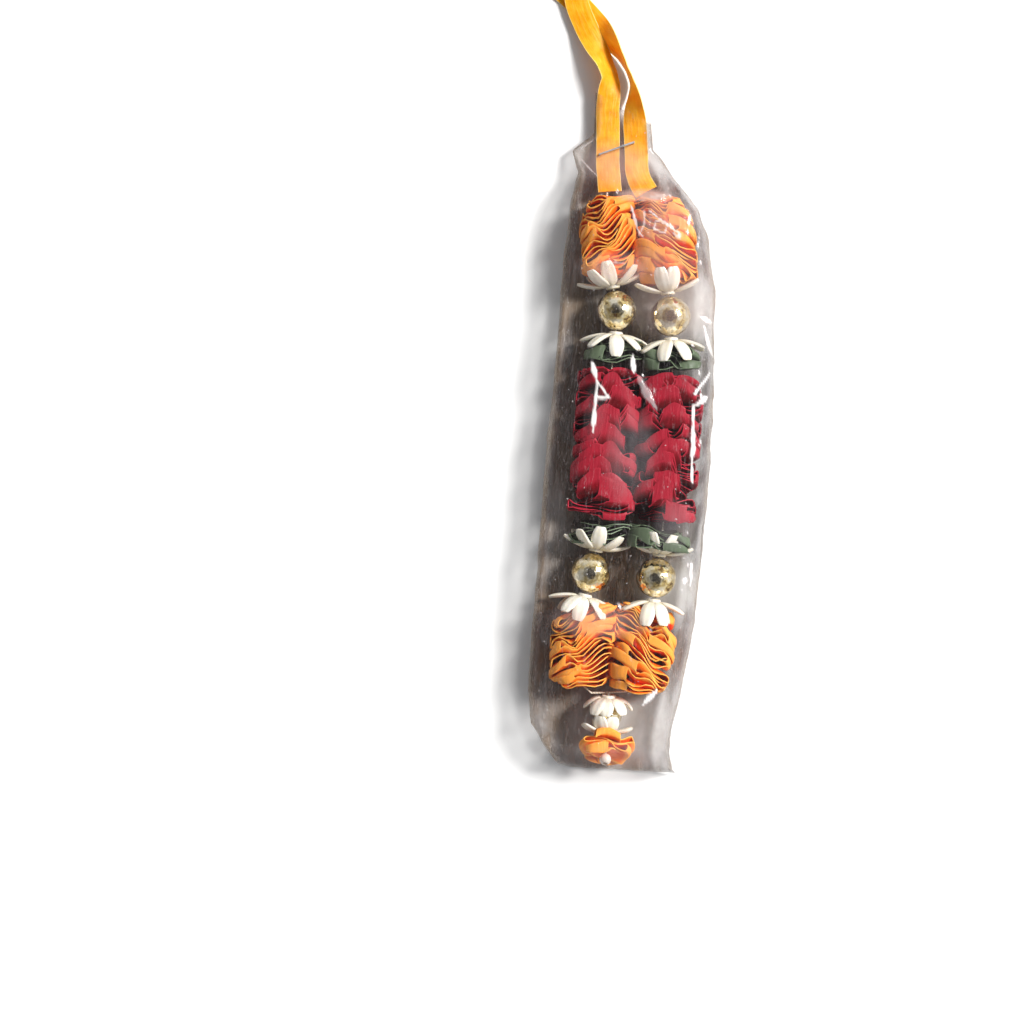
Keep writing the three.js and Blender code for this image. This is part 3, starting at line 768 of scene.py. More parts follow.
@dataclass(frozen=True)
class FoldedRibbon:
    """One ribbon gathered on its thread: passed through it to and fro, with a fold at each turn."""

    node: str
    gather: Gather
    length: float
    half: float
    ends: tuple[FoldEnd, FoldEnd]
    seed: int
    height: float = HALF_HEIGHT
    inner_way: int = 1  # which way along X the other strand lies, 1 or -1
    run_points: int = 11  # along each pass
    nose_points: int = 6  # round each nose
    columns: int = 11  # across the ribbon
    run_spread: float = 0.36  # how much longer the longest fold is than the shortest, as a share
    hold: float = 12.0  # how firmly the film cuts off what stands out
    swell: float = 0.1  # how much further it reaches towards the other strand, as a share
    spill: float = 0.0  # how far its folds may stand past its length on the thread
    sway: float = 0.35  # how far the folds' turn sways, in radians
    sway_length: float = 0.028
    pass_blend: float = 0.6  # where along a pass the ribbon starts and ends to twist
    nose_turn: float = 66.0  # degrees round a fold's nose, each way
    end_depth: float = 0.007  # over which the laid folds give way at an end
    lean_back: float = 0.6  # how far the folds of the lower end are laid the other way, as a share
    slack: float = 0.96  # the share of its height that a laid fold still stands up
    core_radius: float = 0.0033
    core_sides: int = 20
    # painted highlight: how far from a fold's nose the satin is painted paler
    ridge_reach: float = 0.0009  # from a nose, over which the ribbon looks paler

    @property
    def taken(self) -> float:
        """The length of thread that the ribbon takes up."""
        return self.length

    def _reach(self, height: Points) -> tuple[Points, Points]:
        """Narrows the ribbon at its ends.

        Args:
            height: Along the thread from the ribbon's middle.

        Returns:
            How far the folds reach across there and how far up, as shares.
        """
        across, up = np.ones_like(height), np.ones_like(height)
        for end, sign in zip(self.ends, (-1, 1)):
            shape = end.value
            distance = self.length / 2 + sign * height
            across *= shape.across + (1 - shape.across) * smooth_rise(distance / shape.across_depth)
            up *= shape.up + (1 - shape.up) * smooth_rise(distance / shape.up_depth)
        return across, up

    def _passes(self, draw: SeededDraw, layers: int, pitch: float) -> Points:
        """Lays out the ribbon's middle line before the bag holds it in.

        Args:
            draw: The ribbon's own random draw.
            layers: How many passes there are.
            pitch: From one pass to the next.

        Returns:
            Rows of x, z and height, the ribbon's x and z across, and the nearness to a fold's nose.
        """
        fold = self.gather.value
        phase = 2 * math.pi * draw()
        bend = pitch / 2 + fold.puff
        noses = []
        for number in range(layers + 1):
            middle = (number - layers / 2) * pitch
            wave = math.sin(2 * math.pi * middle / self.sway_length + phase)
            turn = fold.start + fold.twist * middle + self.sway * wave
            turn += (number % 2) * math.pi + fold.spread * (draw() - 0.5)
            run = self.half * (fold.least + self.run_spread * draw()) - bend
            noses.append((turn, run, fold.drift * (2 * draw() - 1), 1 if number % 2 == 0 else -1))
        rows = []
        for layer in range(layers):
            height = (layer - (layers - 1) / 2) * pitch
            for part in np.linspace(-1, 1, self.run_points):
                turn, run, drift, _ = noses[layer] if part < 0 else noses[layer + 1]
                reach = abs(part) * run
                share = float(smooth_rise((part + self.pass_blend) / (2 * self.pass_blend)))
                both = ((1 - share, noses[layer]), (share, noses[layer + 1]))
                wide = sum(weight * hand * np.array([-math.sin(at), math.cos(at)])
                           for weight, (at, _, _, hand) in both)
                wide /= max(1e-6, float(np.linalg.norm(wide)))
                stray = drift * part * part - math.copysign(fold.puff * abs(part) ** 1.5, part)
                nearness = math.exp(-(((1 - abs(part)) * run / self.ridge_reach) ** 2))
                rows.append((reach * math.cos(turn), reach * math.sin(turn), height + stray, *wide, nearness))
            if layer < layers - 1:
                turn, run, drift, hand = noses[layer + 1]
                wide = hand * np.array([-math.sin(turn), math.cos(turn)])
                for tip in np.radians(np.linspace(-self.nose_turn, self.nose_turn, self.nose_points)):
                    reach = run + bend * math.cos(tip)
                    rows.append((reach * math.cos(turn), reach * math.sin(turn),
                                 height + pitch / 2 + drift + bend * math.sin(tip), *wide, 1.0))
        return np.array(rows)

    def _held(self, x: Points, z: Points, height: Points) -> tuple[Points, Points]:
        """Finds how the bag holds the folds in.

        Args:
            x: Across the thread, where nothing holds the ribbon.
            z: Up from the thread, where nothing holds it.
            height: Along the thread from the ribbon's middle.

        Returns:
            How far out each place lies, where the film is at 1, and the share of that which it keeps.
        """
        across, up = self._reach(height)
        across = np.where(x * self.inner_way > 0, (1 + across) / 2, across)
        far = np.cbrt(np.abs(x / ((self.half - SATIN_THICKNESS) * across)) ** 3
                      + np.abs(z / ((self.height - SATIN_THICKNESS) * up)) ** 3)
        return far, 1 / (1 + far ** self.hold) ** (1 / self.hold)

    def _laid(self, z: Points, held: Points, height: Points) -> Points:
        """Lays over the folds that the bag presses on.

        Args:
            z: Up from the thread, where nothing holds the ribbon.
            held: The share of its reach that it keeps.
            height: Along the thread from the ribbon's middle.

        Returns:
            How far each place moves along the thread.
        """
        half_length, sign = self.length / 2 + self.spill, np.sign(z)
        room = smooth_rise((half_length - sign * height) / self.end_depth)
        way = smooth_rise((half_length + sign * height) / self.end_depth)
        lost = np.sqrt(np.maximum(0, z ** 2 - (self.slack * z * held) ** 2))
        return self.gather.value.laid * sign * lost * room * ((1 + self.lean_back) * way - self.lean_back)

    def shell(self) -> Shell:
        """Builds the gathered ribbon round its own middle.

        Returns:
            The ribbon and its core, with +Y up the thread.
        """
        fold, draw = self.gather.value, SeededDraw(self.seed)
        stack = self.length - END_ROOM - 2 * fold.puff
        layers = max(3, int(round(stack / fold.pitch)) + 1)
        rows = self._passes(draw, layers, stack / (layers - 1))
        along_x, along_z, height, wide_x, wide_z, nearness = rows.T[:, :, None]
        phases = [2 * math.pi * draw() for _ in range(2)]
        side = np.linspace(-1, 1, self.columns)[None, :]
        short = 1 - fold.curl * side ** 2
        x = along_x * short + side * fold.width / 2 * wide_x
        z = along_z * short + side * fold.width / 2 * wide_z
        far, held = self._held(x, z, height)
        across = x * held * (1 + self.swell * (x * self.inner_way > 0))
        inner = across * self.inner_way
        half_length = self.length / 2 + self.spill
        middle = np.clip(1 - (np.abs(height) / half_length) ** 3, 0, 1)
        climb = fold.slope * middle * (inner - 0.0015 * np.cos(inner / 0.0022))
        # Two trains of waves cross the folds. Each divisor is how many metres turn a wave by a radian.
        ripple = (np.sin(x / 0.0016 + phases[0] + height / 0.003)
                  + 0.7 * np.sin(z / 0.0013 - height / 0.0019 + x / 0.003 + phases[1]))
        wavy = fold.flare * np.minimum(1, far) * (0.25 + np.abs(side) ** 2) * ripple / 1.5
        y = height + self._laid(z, held, height) + wavy + climb
        y = y / (1 + np.abs(y / half_length) ** 10) ** 0.1
        gathered = blade(np.stack([across, y, z * held], -1), SATIN_THICKNESS)
        # Nearness to a fold's nose, which the satin reads for its painted highlight.
        ridge = np.broadcast_to(nearness, x.shape).reshape(-1)
        gathered.shares = {"fold": np.concatenate([ridge, ridge])}
        edge = self.length / 2 - 2 * END_ROOM
        core = turned([(BORE_RADIUS, -edge), (self.core_radius, -edge), (self.core_radius, edge),
                       (BORE_RADIUS, edge)], self.core_sides)
        core.shares = {"fold": np.zeros(len(core.vertices))}
        return merged([gathered, core])

    def add(self, seat: Seat, materials: dict) -> bpy.types.Object:
        """Adds the ribbon on its seat."""
        fold = self.gather.value
        return add_piece(self.node, "folds", self.shell().carried(seat), materials[fold.finish.name])


# Petal flowers and beads


@dataclass(frozen=True)
class PetalFlower:
    """Rice-grain petals round a small ring, bent by the bag that holds them in."""

    node: str
    droop: int  # 1 where the petals point up the thread, -1 where they point down
    turn: float
    length: float = 0.0097
    side: tuple[float, float] = (6.0, 26.0)  # degrees that a petal beside the thread rises by, root and tip
    top: tuple[float, float] = (18.0, 88.0)  # the same for a petal above or below the thread
    count: int = 8
    width: float = 0.0049
    thickness: float = 0.0015
    root: float = 0.0015
    astray: float = 0.3
    hub_radius: float = 0.0023
    hub_height: float = 0.0018
    lip: float = 0.0003
    hub_sides: int = 24
    shortest: float = 0.94
    length_spread: float = 0.1
    first_seed: int = 7
    ridge: float = 0.14  # how far the line down a petal's face stands out, as a share
    bands: int = 15
    sides: int = 14

    @property
    def taken(self) -> float:
        """The length of thread that the flower's ring takes up."""
        return self.hub_height

    def _girth(self, part: float) -> float:
        """How full a petal is: thin at its root, fullest past its middle and blunt at its tip."""
        return max(0.1, 1 - abs(1.96 * part - 1.1) ** 2.6) ** 0.5 if part > 0.1 else 0.42

    def _petal(self, angle: float, draw: SeededDraw) -> Shell:
        """Builds one petal, a little astray as the real ones are.

        Args:
            angle: Where it stands round the thread.
            draw: The flower's own random draw.

        Returns:
            The petal, with its root at the ring.
        """
        angle += self.astray * (draw() - 0.5)
        long = self.length * (self.shortest + self.length_spread * draw())
        lift = math.sin(angle) ** 2
        start, end = (math.radians(low + (high - low) * lift) for low, high in zip(self.side, self.top))
        outward = np.array([math.cos(angle), 0.0, math.sin(angle)])
        beside = np.array([-math.sin(angle), 0.0, math.cos(angle)])
        up = np.array([0.0, 1.0, 0.0])
        round_angles = np.linspace(0, 2 * math.pi, self.sides, endpoint=False)
        rings = []
        for part in (1 - np.cos(np.linspace(0.06, 1, self.bands) * math.pi)) / 2:
            bend = start + (end - start) * part
            middle = (start + bend) / 2
            girth = self._girth(part)
            centre = outward * (self.root + long * part * math.cos(middle))
            centre = centre + up * self.droop * long * part * math.sin(middle)
            facing = -outward * math.sin(bend) + up * self.droop * math.cos(bend)
            ring = []
            for place in round_angles:
                ridge = 1 + self.ridge * max(0.0, math.sin(place)) ** 12 * math.sin(math.pi * part)
                ring.append(centre + beside * self.width / 2 * girth * math.cos(place)
                            + facing * self.thickness / 2 * girth * math.sin(place) * ridge)
            rings.append(ring[:: -self.droop])
        return loft(np.array(rings), foot=True, head=True)

    def shell(self) -> Shell:
        """Builds the flower round its own middle.

        Returns:
            The ring and its petals, with +Y up the thread.
        """
        low, high, lip, radius = -self.hub_height / 2, self.hub_height / 2, self.lip, self.hub_radius
        hub = turned([(BORE_RADIUS, low), (radius - lip, low), (radius, low + lip), (radius, high - lip),
                      (radius - lip, high), (BORE_RADIUS, high)], self.hub_sides)
        angles = [self.turn + petal / self.count * 2 * math.pi for petal in range(self.count)]
        draw = SeededDraw(self.first_seed + sum(map(ord, self.node)))
        return merged([hub, *(self._petal(angle, draw) for angle in angles)])

    def add(self, seat: Seat, materials: dict) -> bpy.types.Object:
        """Adds the flower on its seat."""
        return add_piece(self.node, "petals", self.shell().carried(seat), materials["petal"])


@dataclass(frozen=True)
class Bead:
    """A round bead with a drilled hole."""

    node: str
    radius: float
    bore: float = BORE_RADIUS
    finish: str = "foil"
    material: str = "gold"
    slot: str = "gold_bead"
    bands: int = 26
    sides: int = 44

    @property
    def taken(self) -> float:
        """The length of thread that the bead takes up."""
        return 2 * self.radius

    def shell(self) -> Shell:
        """Builds the bead round its own middle.

        Returns:
            The bead, with its hole along Y.
        """
        edge = math.asin(self.bore / self.radius)
        angles = np.linspace(math.pi - edge, edge, self.bands + 1)
        return turned([(self.radius * math.sin(angle), self.radius * math.cos(angle)) for angle in angles],
                      self.sides)

    def add(self, seat: Seat, materials: dict) -> bpy.types.Object:
        """Adds the bead on its seat."""
        return add_piece(self.node, self.finish, self.shell().carried(seat), materials[self.material])


@dataclass
class Strand:
    """One hanging strand: ribbons, flowers and beads on a thread, from the top down.

    Each ribbon's pair of sizes is its length on the thread and half its width across it.
    """

    side: str
    number: int
    top: float  # where its first ribbon starts, along Y
    petal_turn: float
    route: Sequence[tuple[float, float]]  # x and y of its thread
    orange_top: tuple[float, float]
    green_top: tuple[float, float]
    red: tuple[float, float]
    green_bottom: tuple[float, float]
    orange_bottom: tuple[float, float]

    def _ribbon(self, name: str, gather: Gather, size: tuple[float, float], ends: tuple[FoldEnd, FoldEnd],
                place: int, swell: float = 0.1) -> FoldedRibbon:
        """A folded ribbon of this strand, seeded by its place."""
        seed = FIRST_SEED + STRAND_SEEDS * self.number + PLACE_SEEDS * place
        return FoldedRibbon(f"ribbon_{name}_{self.side}", gather, size[0], size[1], ends, seed,
                            inner_way=1 if self.number == 0 else -1, swell=swell)

    def pieces(self) -> list:
        """Lists what the strand's thread runs through.

        Returns:
            The strand's pieces from the top down.
        """
        orange, red, green = Gather.ORANGE, Gather.RED, Gather.GREEN
        square, rounded, petals, cupped = FoldEnd.SQUARE, FoldEnd.ROUNDED, FoldEnd.PETALS, FoldEnd.CUPPED

        def trio(place: str) -> list:
            """Sets a bead between two flowers.

            Args:
                place: Which of the strand's beads it is.

            Returns:
                The flower above it, the bead and the flower below it.
            """
            bead = f"bead_{place}_{self.side}"
            above, below = f"flower_above_{bead}", f"flower_below_{bead}"
            return [PetalFlower(above, 1, self.petal_turn), Bead(bead, BEAD_RADIUS),
                    PetalFlower(below, -1, self.petal_turn)]

        return [
            self._ribbon("orange_top", orange, self.orange_top, (rounded, cupped), 0),
            *trio("top"),
            self._ribbon("green_top", green, self.green_top, (petals, square), 4),
            self._ribbon("red", red, self.red, (square, square), 5),
            self._ribbon("green_bottom", green, self.green_bottom, (square, square), 6, 0.2),
            *trio("bottom"),
            self._ribbon("orange_bottom", orange, self.orange_bottom, (cupped, rounded), 10, 0.24),
        ]

    def add(self, materials: dict) -> None:
        """Adds every piece of the strand on its thread.

        Args:
            materials: The finished materials, by name.
        """
        route = Route([(x, y, AXIS_HEIGHT) for x, y in self.route])
        y = self.top
        for piece in self.pieces():
            piece.add(route.seat_at_height(y - piece.taken / 2), materials)
            y -= piece.taken + GAP


STRANDS = (
    Strand("left", 0, 0.0742, 0.0, (
        (-0.0113, 0.0748), (-0.0103, 0.06), (-0.0082, 0.047), (-0.0059, 0.0374), (-0.0058, 0.029),
        (-0.0063, 0.02), (-0.007, 0.006), (-0.0075, -0.02), (-0.0074, -0.034), (-0.0082, -0.042),
        (-0.0096, -0.05), (-0.0109, -0.057), (-0.0112, -0.065), (-0.011, -0.074), (-0.0094, -0.0846),
    ), (0.0279, 0.0092), (0.008, 0.0096), (0.0499, 0.0106), (0.0076, 0.0097), (0.0285, 0.0098)),
    Strand("right", 1, 0.0748, math.pi / 8, (
        (0.0068, 0.0754), (0.0084, 0.06), (0.0098, 0.046), (0.0113, 0.037), (0.012, 0.029),
        (0.0129, 0.02), (0.0132, 0.005), (0.0132, -0.02), (0.0129, -0.033), (0.0123, -0.041),
        (0.0118, -0.048), (0.0115, -0.055), (0.011, -0.062), (0.0098, -0.071), (0.0076, -0.0828),
    ), (0.0293, 0.0101), (0.0082, 0.0096), (0.0496, 0.0106), (0.0072, 0.0097), (0.0287, 0.0098)),
)


@dataclass
class Pendant:
    """The small drop where the strands meet: flower, bead, flower, ribbon and stop bead."""

    route: Sequence[tuple[float, float, float]] = (
        (-0.001, -0.0849, 0.0086), (-0.001, -0.088, 0.0082), (-0.001, -0.0922, 0.008),
        (-0.001, -0.096, 0.0079), (-0.001, -0.0978, 0.008), (-0.001, -0.0995, 0.0082),
        (-0.001, -0.102, 0.0095), (-0.001, -0.1039, 0.0108), (-0.001, -0.1059, 0.0122),
    )
    top: PetalFlower = PetalFlower("flower_pendant_top", -1, 0.0, 0.0072, (4.0, 58.0), (10.0, 80.0))
    bead: Bead = Bead("bead_pendant", PENDANT_BEAD_RADIUS)
    bottom: PetalFlower = PetalFlower("flower_pendant_bottom", 1, math.pi / 8, 0.0072, (0.0, 24.0),
                                      (16.0, 84.0))
    ribbon: FoldedRibbon = FoldedRibbon("ribbon_pendant", Gather.ROSETTE, 0.0056, 0.0102,
                                        (FoldEnd.BUD, FoldEnd.BUD), 2001, 0.007, spill=0.0022, swell=0.0)
    heights: tuple[float, ...] = (-0.0865, -0.0922, -0.09775, -0.1022)  # y of those four
    stop: Bead = Bead("stop_bead", 0.0019, 0.0009, "pearl", "pearl", "stop_bead", 16, 28)

    def add(self, materials: dict) -> None:
        """Adds the pendant's pieces on its thread, the stop bead at its end.

        Args:
            materials: The finished materials, by name.
        """
        route = Route(self.route)
        for piece, y in zip((self.top, self.bead, self.bottom, self.ribbon), self.heights):
            piece.add(route.seat_at_height(y), materials)
        self.stop.add(route.seat(1.0), materials)


@dataclass
class NeckRibbon:
    """The flat satin ribbon that the garland is worn by, from one strand round to the other."""

    width: float = 0.0075
    thickness: float = 0.0003
    step: float = 0.001
    columns: int = 9
    cup: float = 0.00025  # how far its middle stands out from its edges
    # x, y and z in metres and the roll in degrees: 0 lies flat, 90 stands on its edge.
    stops: Sequence[tuple[float, float, float, float]] = (
        (-0.0104, 0.0752, 0.0085, 0), (-0.011, 0.0802, 0.0064, 0), (-0.0116, 0.0854, 0.0044, 0),
        (-0.0118, 0.091, 0.0036, 0), (-0.0122, 0.0975, 0.0034, 0), (-0.0126, 0.1025, 0.0035, 0),
        (-0.0124, 0.1076, 0.0037, 12), (-0.0124, 0.1124, 0.0041, 42), (-0.0144, 0.1172, 0.0039, 40),
        (-0.0178, 0.1228, 0.0029, 16), (-0.0213, 0.129, 0.0021, 0), (-0.0246, 0.1364, 0.00195, 0),
        (-0.0258, 0.1445, 0.0023, 25), (-0.0246, 0.152, 0.0039, 65), (-0.0216, 0.16, 0.0039, 90),
        (-0.0178, 0.168, 0.0039, 90), (-0.0154, 0.1765, 0.0039, 90), (-0.0159, 0.185, 0.0039, 90),
        (-0.02, 0.1928, 0.0039, 90), (-0.027, 0.198, 0.0039, 90), (-0.0358, 0.1996, 0.0039, 90),
        (-0.0445, 0.1978, 0.0039, 90), (-0.0516, 0.1926, 0.0039, 90), (-0.056, 0.185, 0.0039, 90),
        (-0.057, 0.1763, 0.0039, 90), (-0.0548, 0.1676, 0.0039, 90), (-0.05, 0.16, 0.0039, 72),
        (-0.0434, 0.1526, 0.0026, 30), (-0.0364, 0.146, 0.0008, 0), (-0.0296, 0.1405, 0.0006, 0),
        (-0.0236, 0.1356, 0.0006, 0), (-0.0182, 0.1302, 0.0013, 10), (-0.0136, 0.125, 0.0031, 50),
        (-0.01, 0.12, 0.0042, 78), (-0.0073, 0.1154, 0.0043, 88), (-0.0054, 0.1112, 0.0043, 84),
        (-0.0045, 0.1068, 0.0042, 62), (-0.0041, 0.1024, 0.0038, 36), (-0.0034, 0.097, 0.0034, 6),
        (-0.0028, 0.0915, 0.0035, 0), (-0.0024, 0.0872, 0.0038, 0), (-0.0021, 0.0832, 0.0051, 0),
        (-0.001, 0.0794, 0.0073, 0), (0.0012, 0.0758, 0.0086, 0),
    )
    finish: Satin = Satin("neck_satin", "FFB22A", "F79A0C", "FFD67E", 0.32, 0.3, 0.47, 0.0, 0.4)

    def add(self) -> bpy.types.Object:
        """Returns:
            The ribbon.
        """
        stops = np.array(self.stops)
        route = Route(stops[:, :3])
        shares = route.even_shares(self.step)
        rolls = np.radians(np.interp(shares * (len(stops) - 1), np.arange(len(stops)), stops[:, 3]))
        points = np.array([route.point(share) for share in shares])
        tangents = np.array([route.tangent(share) for share in shares])
        level = np.cross([0.0, 0.0, 1.0], tangents)
        level /= np.linalg.norm(level, axis=1, keepdims=True)
        above = np.cross(tangents, level)
        wide = level * np.cos(rolls)[:, None] + above * np.sin(rolls)[:, None]
        facing = np.cross(tangents, wide)
        side = np.linspace(-1, 1, self.columns)
        grid = (points[:, None] + wide[:, None] * side[None, :, None] * self.width / 2
                + facing[:, None] * (self.cup * (0.5 - side ** 2))[None, :, None])
        piece = add_piece("neck_ribbon", "satin", blade(grid, self.thickness), self.finish.material())
        return piece


@dataclass(frozen=True)
class Crease:
    """A sharp ridge in the film, with a painted white glint along its flank, through points in metres."""

    points: tuple[tuple[float, float], ...]
    width: float
    # how strong its painted glint is
    milk: float = 0.95  # how white it is


@dataclass(frozen=True)
class Haze:
    """A patch on the film, with its middle and half sizes in metres: painted reflection in pink, white or a
    grey veil, or a place where the film lying double under it is clearer.
    """

    x: float
    y: float
    half_x: float
    half_y: float
    # painted reflection: how pink the patch is
    blush: float = 0.0
    # painted glint: how white the patch is
    milk: float = 0.0
    # painted reflection: how strongly the patch veils what lies under it
    veil: float = 0.0
    thin: float = 0.0  # how much clearer the film underneath is


@dataclass
class FilmBag:
    """The clear bag: one thin skin, tight over the garland, pinched flat at its stapled mouth."""

    rings: Sequence[tuple[float, ...]] = (
        # y, left, right, low, high and how far the ring leans along Y for each metre across
        (0.1033, -0.0172, 0.0018, 0.0012, 0.0062, -0.5), (0.0972, -0.0169, 0.0027, 0.0012, 0.0056, -0.4),
        (0.0919, -0.0169, 0.0032, 0.0013, 0.0054, -0.2), (0.0895, -0.0205, 0.0056, 0.0013, 0.0054, -0.12),
        (0.0877, -0.0234, 0.0064, 0.0013, 0.0055, -0.05), (0.0829, -0.0219, 0.0092, 0.0008, 0.0085, 0),
        (0.0808, -0.0212, 0.0106, 0.0003, 0.011, 0), (0.0762, -0.022, 0.0142, 0, 0.0158, 0),
        (0.071, -0.0229, 0.0186, 0, 0.0172, 0), (0.0615, -0.0236, 0.0221, 0, 0.0172, 0),
        (0.046, -0.0243, 0.0253, 0, 0.017, 0),
        (0.02, -0.025, 0.0266, 0, 0.0172, 0), (-0.01, -0.0259, 0.0272, 0, 0.0172, 0),
        (-0.041, -0.0265, 0.0264, 0, 0.017, 0), (-0.066, -0.0271, 0.0248, 0, 0.0172, 0),
        (-0.086, -0.0272, 0.0219, 0, 0.0168, 0), (-0.096, -0.0256, 0.02, 0, 0.0168, 0),
        (-0.103, -0.0212, 0.0198, 0, 0.0168, 0), (-0.1084, -0.0165, 0.0212, 0.0002, 0.014, 0),
        (-0.11, -0.0125, 0.0226, 0.0006, 0.0022, 0),
    )
    rounding: float = 3.0  # of each ring's corners: 2 is an ellipse, and more is squarer
    inset: float = 0.0003
    thinnest: float = 0.0004  # half a ring's height where the film lies flat
    step: float = 0.0007
    round_points: int = 240
    fine_points: int = 1440  # round a ring before they are spaced evenly
    highest: float = 0.0181
    lit_slope: float = 0.4  # of a crease's bright flank
    lit_from: tuple[float, float, float] = (0.34, 0.2, 0.92)
    lean_out: float = 1.6  # how much more the film crumples up and down than sideways
    # the darker edge is partly painted shade
    edge_width: float = 0.003  # of the dull edge where the film turns under
    mouth: float = 0.079  # y past which the bag lies flat
    crumples: tuple[tuple[float, float, float, float], ...] = (
        # depth in metres, waves for each millimetre across and along, and their turn in radians
        (0.0004, 0.19, 0.02, 0.0), (0.00042, 0.1, 0.03, 0.55), (0.0004, 0.11, 0.034, -0.7),
        (0.00016, 0.36, 0.11, 0.25), (0.00014, 0.3, 0.2, -1.2),
    )
    creases: tuple[Crease, ...] = (
        Crease(((-0.0131, 0.02), (-0.0114, 0.0138)), 0.0016),
        Crease(((-0.0114, 0.0138), (-0.0071, 0.009)), 0.001),
        Crease(((-0.0114, 0.0087), (-0.0066, 0.0087)), 0.0012),
        Crease(((-0.0114, 0.0144), (-0.0113, 0.0086), (-0.0114, -0.0026)), 0.0013),
        Crease(((-0.0004, 0.0229), (0.0004, 0.017)), 0.0014),
        Crease(((0.0016, 0.0165), (0.0047, 0.0112), (0.0082, 0.0063)), 0.0032, 0.36),
        Crease(((0.0248, 0.019), (0.0203, 0.0115)), 0.001),
        Crease(((0.0245, 0.0114), (0.0205, 0.0077)), 0.0022),
        Crease(((0.0204, 0.0085), (0.0206, -0.0042), (0.021, -0.0163)), 0.0014),
        Crease(((0.0219, 0.034), (0.0238, 0.029), (0.0254, 0.0243)), 0.0012),
        Crease(((0.0208, 0.0365), (0.0244, 0.0348)), 0.0018),
        Crease(((0.0101, -0.0876), (0.014, -0.0825)), 0.0016),
        Crease(((0.0206, -0.0488), (0.0211, -0.0465)), 0.0016),
        Crease(((0.023, -0.0419), (0.0229, -0.0496)), 0.0008),
        Crease(((-0.0037, 0.07), (-0.0009, 0.0618), (0.0008, 0.0603)), 0.0008, 0.7),
        Crease(((0.0018, 0.069), (0.0129, 0.0617)), 0.0008, 0.7),
        Crease(((0.0046, 0.0657), (0.0082, 0.0649), (0.0075, 0.0622), (0.0038, 0.0629),
                (0.0046, 0.0657)), 0.0007, 0.7),
        Crease(((0.0006, 0.0686), (0.0008, 0.0641), (-0.0006, 0.0609)), 0.0007, 0.6),
        Crease(((0.0103, 0.0622), (0.0126, 0.0604)), 0.0012, 0.6),
        Crease(((-0.0012, 0.072), (0.0073, 0.0742)), 0.0016, 0.5),
        Crease(((-0.0108, 0.0493), (-0.0084, 0.052), (-0.0045, 0.0516)), 0.0012, 0.5),
        Crease(((-0.0233, 0.0874), (-0.0169, 0.0916)), 0.0008, 0.5),
        Crease(((-0.0224, 0.0877), (-0.0186, 0.0832), (-0.0151, 0.0792)), 0.0008, 0.45),
    )
    hazes: tuple[Haze, ...] = (
        Haze(0.007, 0.066, 0.009, 0.008, blush=0.6), Haze(0.008, 0.052, 0.011, 0.007, blush=0.4),
        Haze(0.001, 0.0735, 0.009, 0.0022, blush=0.9, milk=0.2), Haze(-0.006, 0.05, 0.012, 0.005, blush=0.5),
        Haze(-0.006, -0.062, 0.014, 0.005, blush=0.5),
        Haze(-0.008, 0.084, 0.011, 0.008, blush=0.35, veil=0.8),
        Haze(0.001, -0.0086, 0.008, 0.014, veil=0.45), Haze(-0.011, 0.004, 0.004, 0.01, veil=0.2),
        Haze(0.016, -0.03, 0.006, 0.008, veil=0.4), Haze(0.004, -0.104, 0.008, 0.004, blush=0.4),
        Haze(0.013, 0.041, 0.016, 0.012, blush=0.3, thin=0.5), Haze(0.015, -0.05, 0.013, 0.01, thin=0.5),
        Haze(0.004, -0.096, 0.024, 0.014, thin=0.5),
    )
    finish: ClearFilm = ClearFilm()

    def _smooth_rings(self) -> Points:
        """Reads the ring table at even steps along the bag.

        Returns:
            Rows of y, left, right, low, high and lean, from the foot to the mouth.
        """
        table = np.array(self.rings, float)[::-1]
        y = np.arange(table[0, 0], table[-1, 0], self.step)
        return np.stack([y, *(np.interp(y, table[:, 0], table[:, column]) for column in range(1, 6))], -1)

    def _ring(self, row: Points) -> Points:
        """Rounds one ring of film.

        Args:
            row: Its y, left, right, low, high and lean.

        Returns:
            Its points, spaced evenly round it.
        """
        y, left, right, low, high, lean = row
        angle = np.linspace(0, 2 * math.pi, self.fine_points)
        power = 2 / self.rounding
        half_x, half_z = (right - left) / 2 - self.inset, max((high - low) / 2 - self.inset, self.thinnest)
        x = half_x * np.sign(np.cos(angle)) * np.abs(np.cos(angle)) ** power
        z = half_z * np.sign(np.sin(angle)) * np.abs(np.sin(angle)) ** power
        length = np.concatenate([[0.0], np.cumsum(np.hypot(np.diff(x), np.diff(z)))])
        even = np.linspace(0, length[-1], self.round_points, endpoint=False)
        x, z = np.interp(even, length, x), np.interp(even, length, z)
        return np.stack([x + (left + right) / 2, y + lean * x, z + (low + high) / 2], -1)

    def _crumple(self, place: Points, depth: Points) -> Points:
        """Crumples the film in sharp folds of several lengths.

        Args:
            place: The film's points.
            depth: How freely it crumples at each, from 0 to 1.

        Returns:
            How far each point stands out from its ring.
        """
        total = np.zeros(len(place))
        for number, (weight, fine, coarse, turn) in enumerate(self.crumples):
            cosine, sine = math.cos(turn), math.sin(turn)
            u = (place[:, 0] * cosine - place[:, 1] * sine) * 1000 * fine
            v = (place[:, 0] * sine + place[:, 1] * cosine) * 1000 * coarse
            w = place[:, 2] * 1000 * fine * 0.6 + 7.3 * number  # each kind of fold has its own noise
            ridges = np.array([noise.noise(Vector(triple)) for triple in zip(u, v, w)])
            total += weight * (0.35 - np.abs(ridges) * 2.2)
        return total * depth

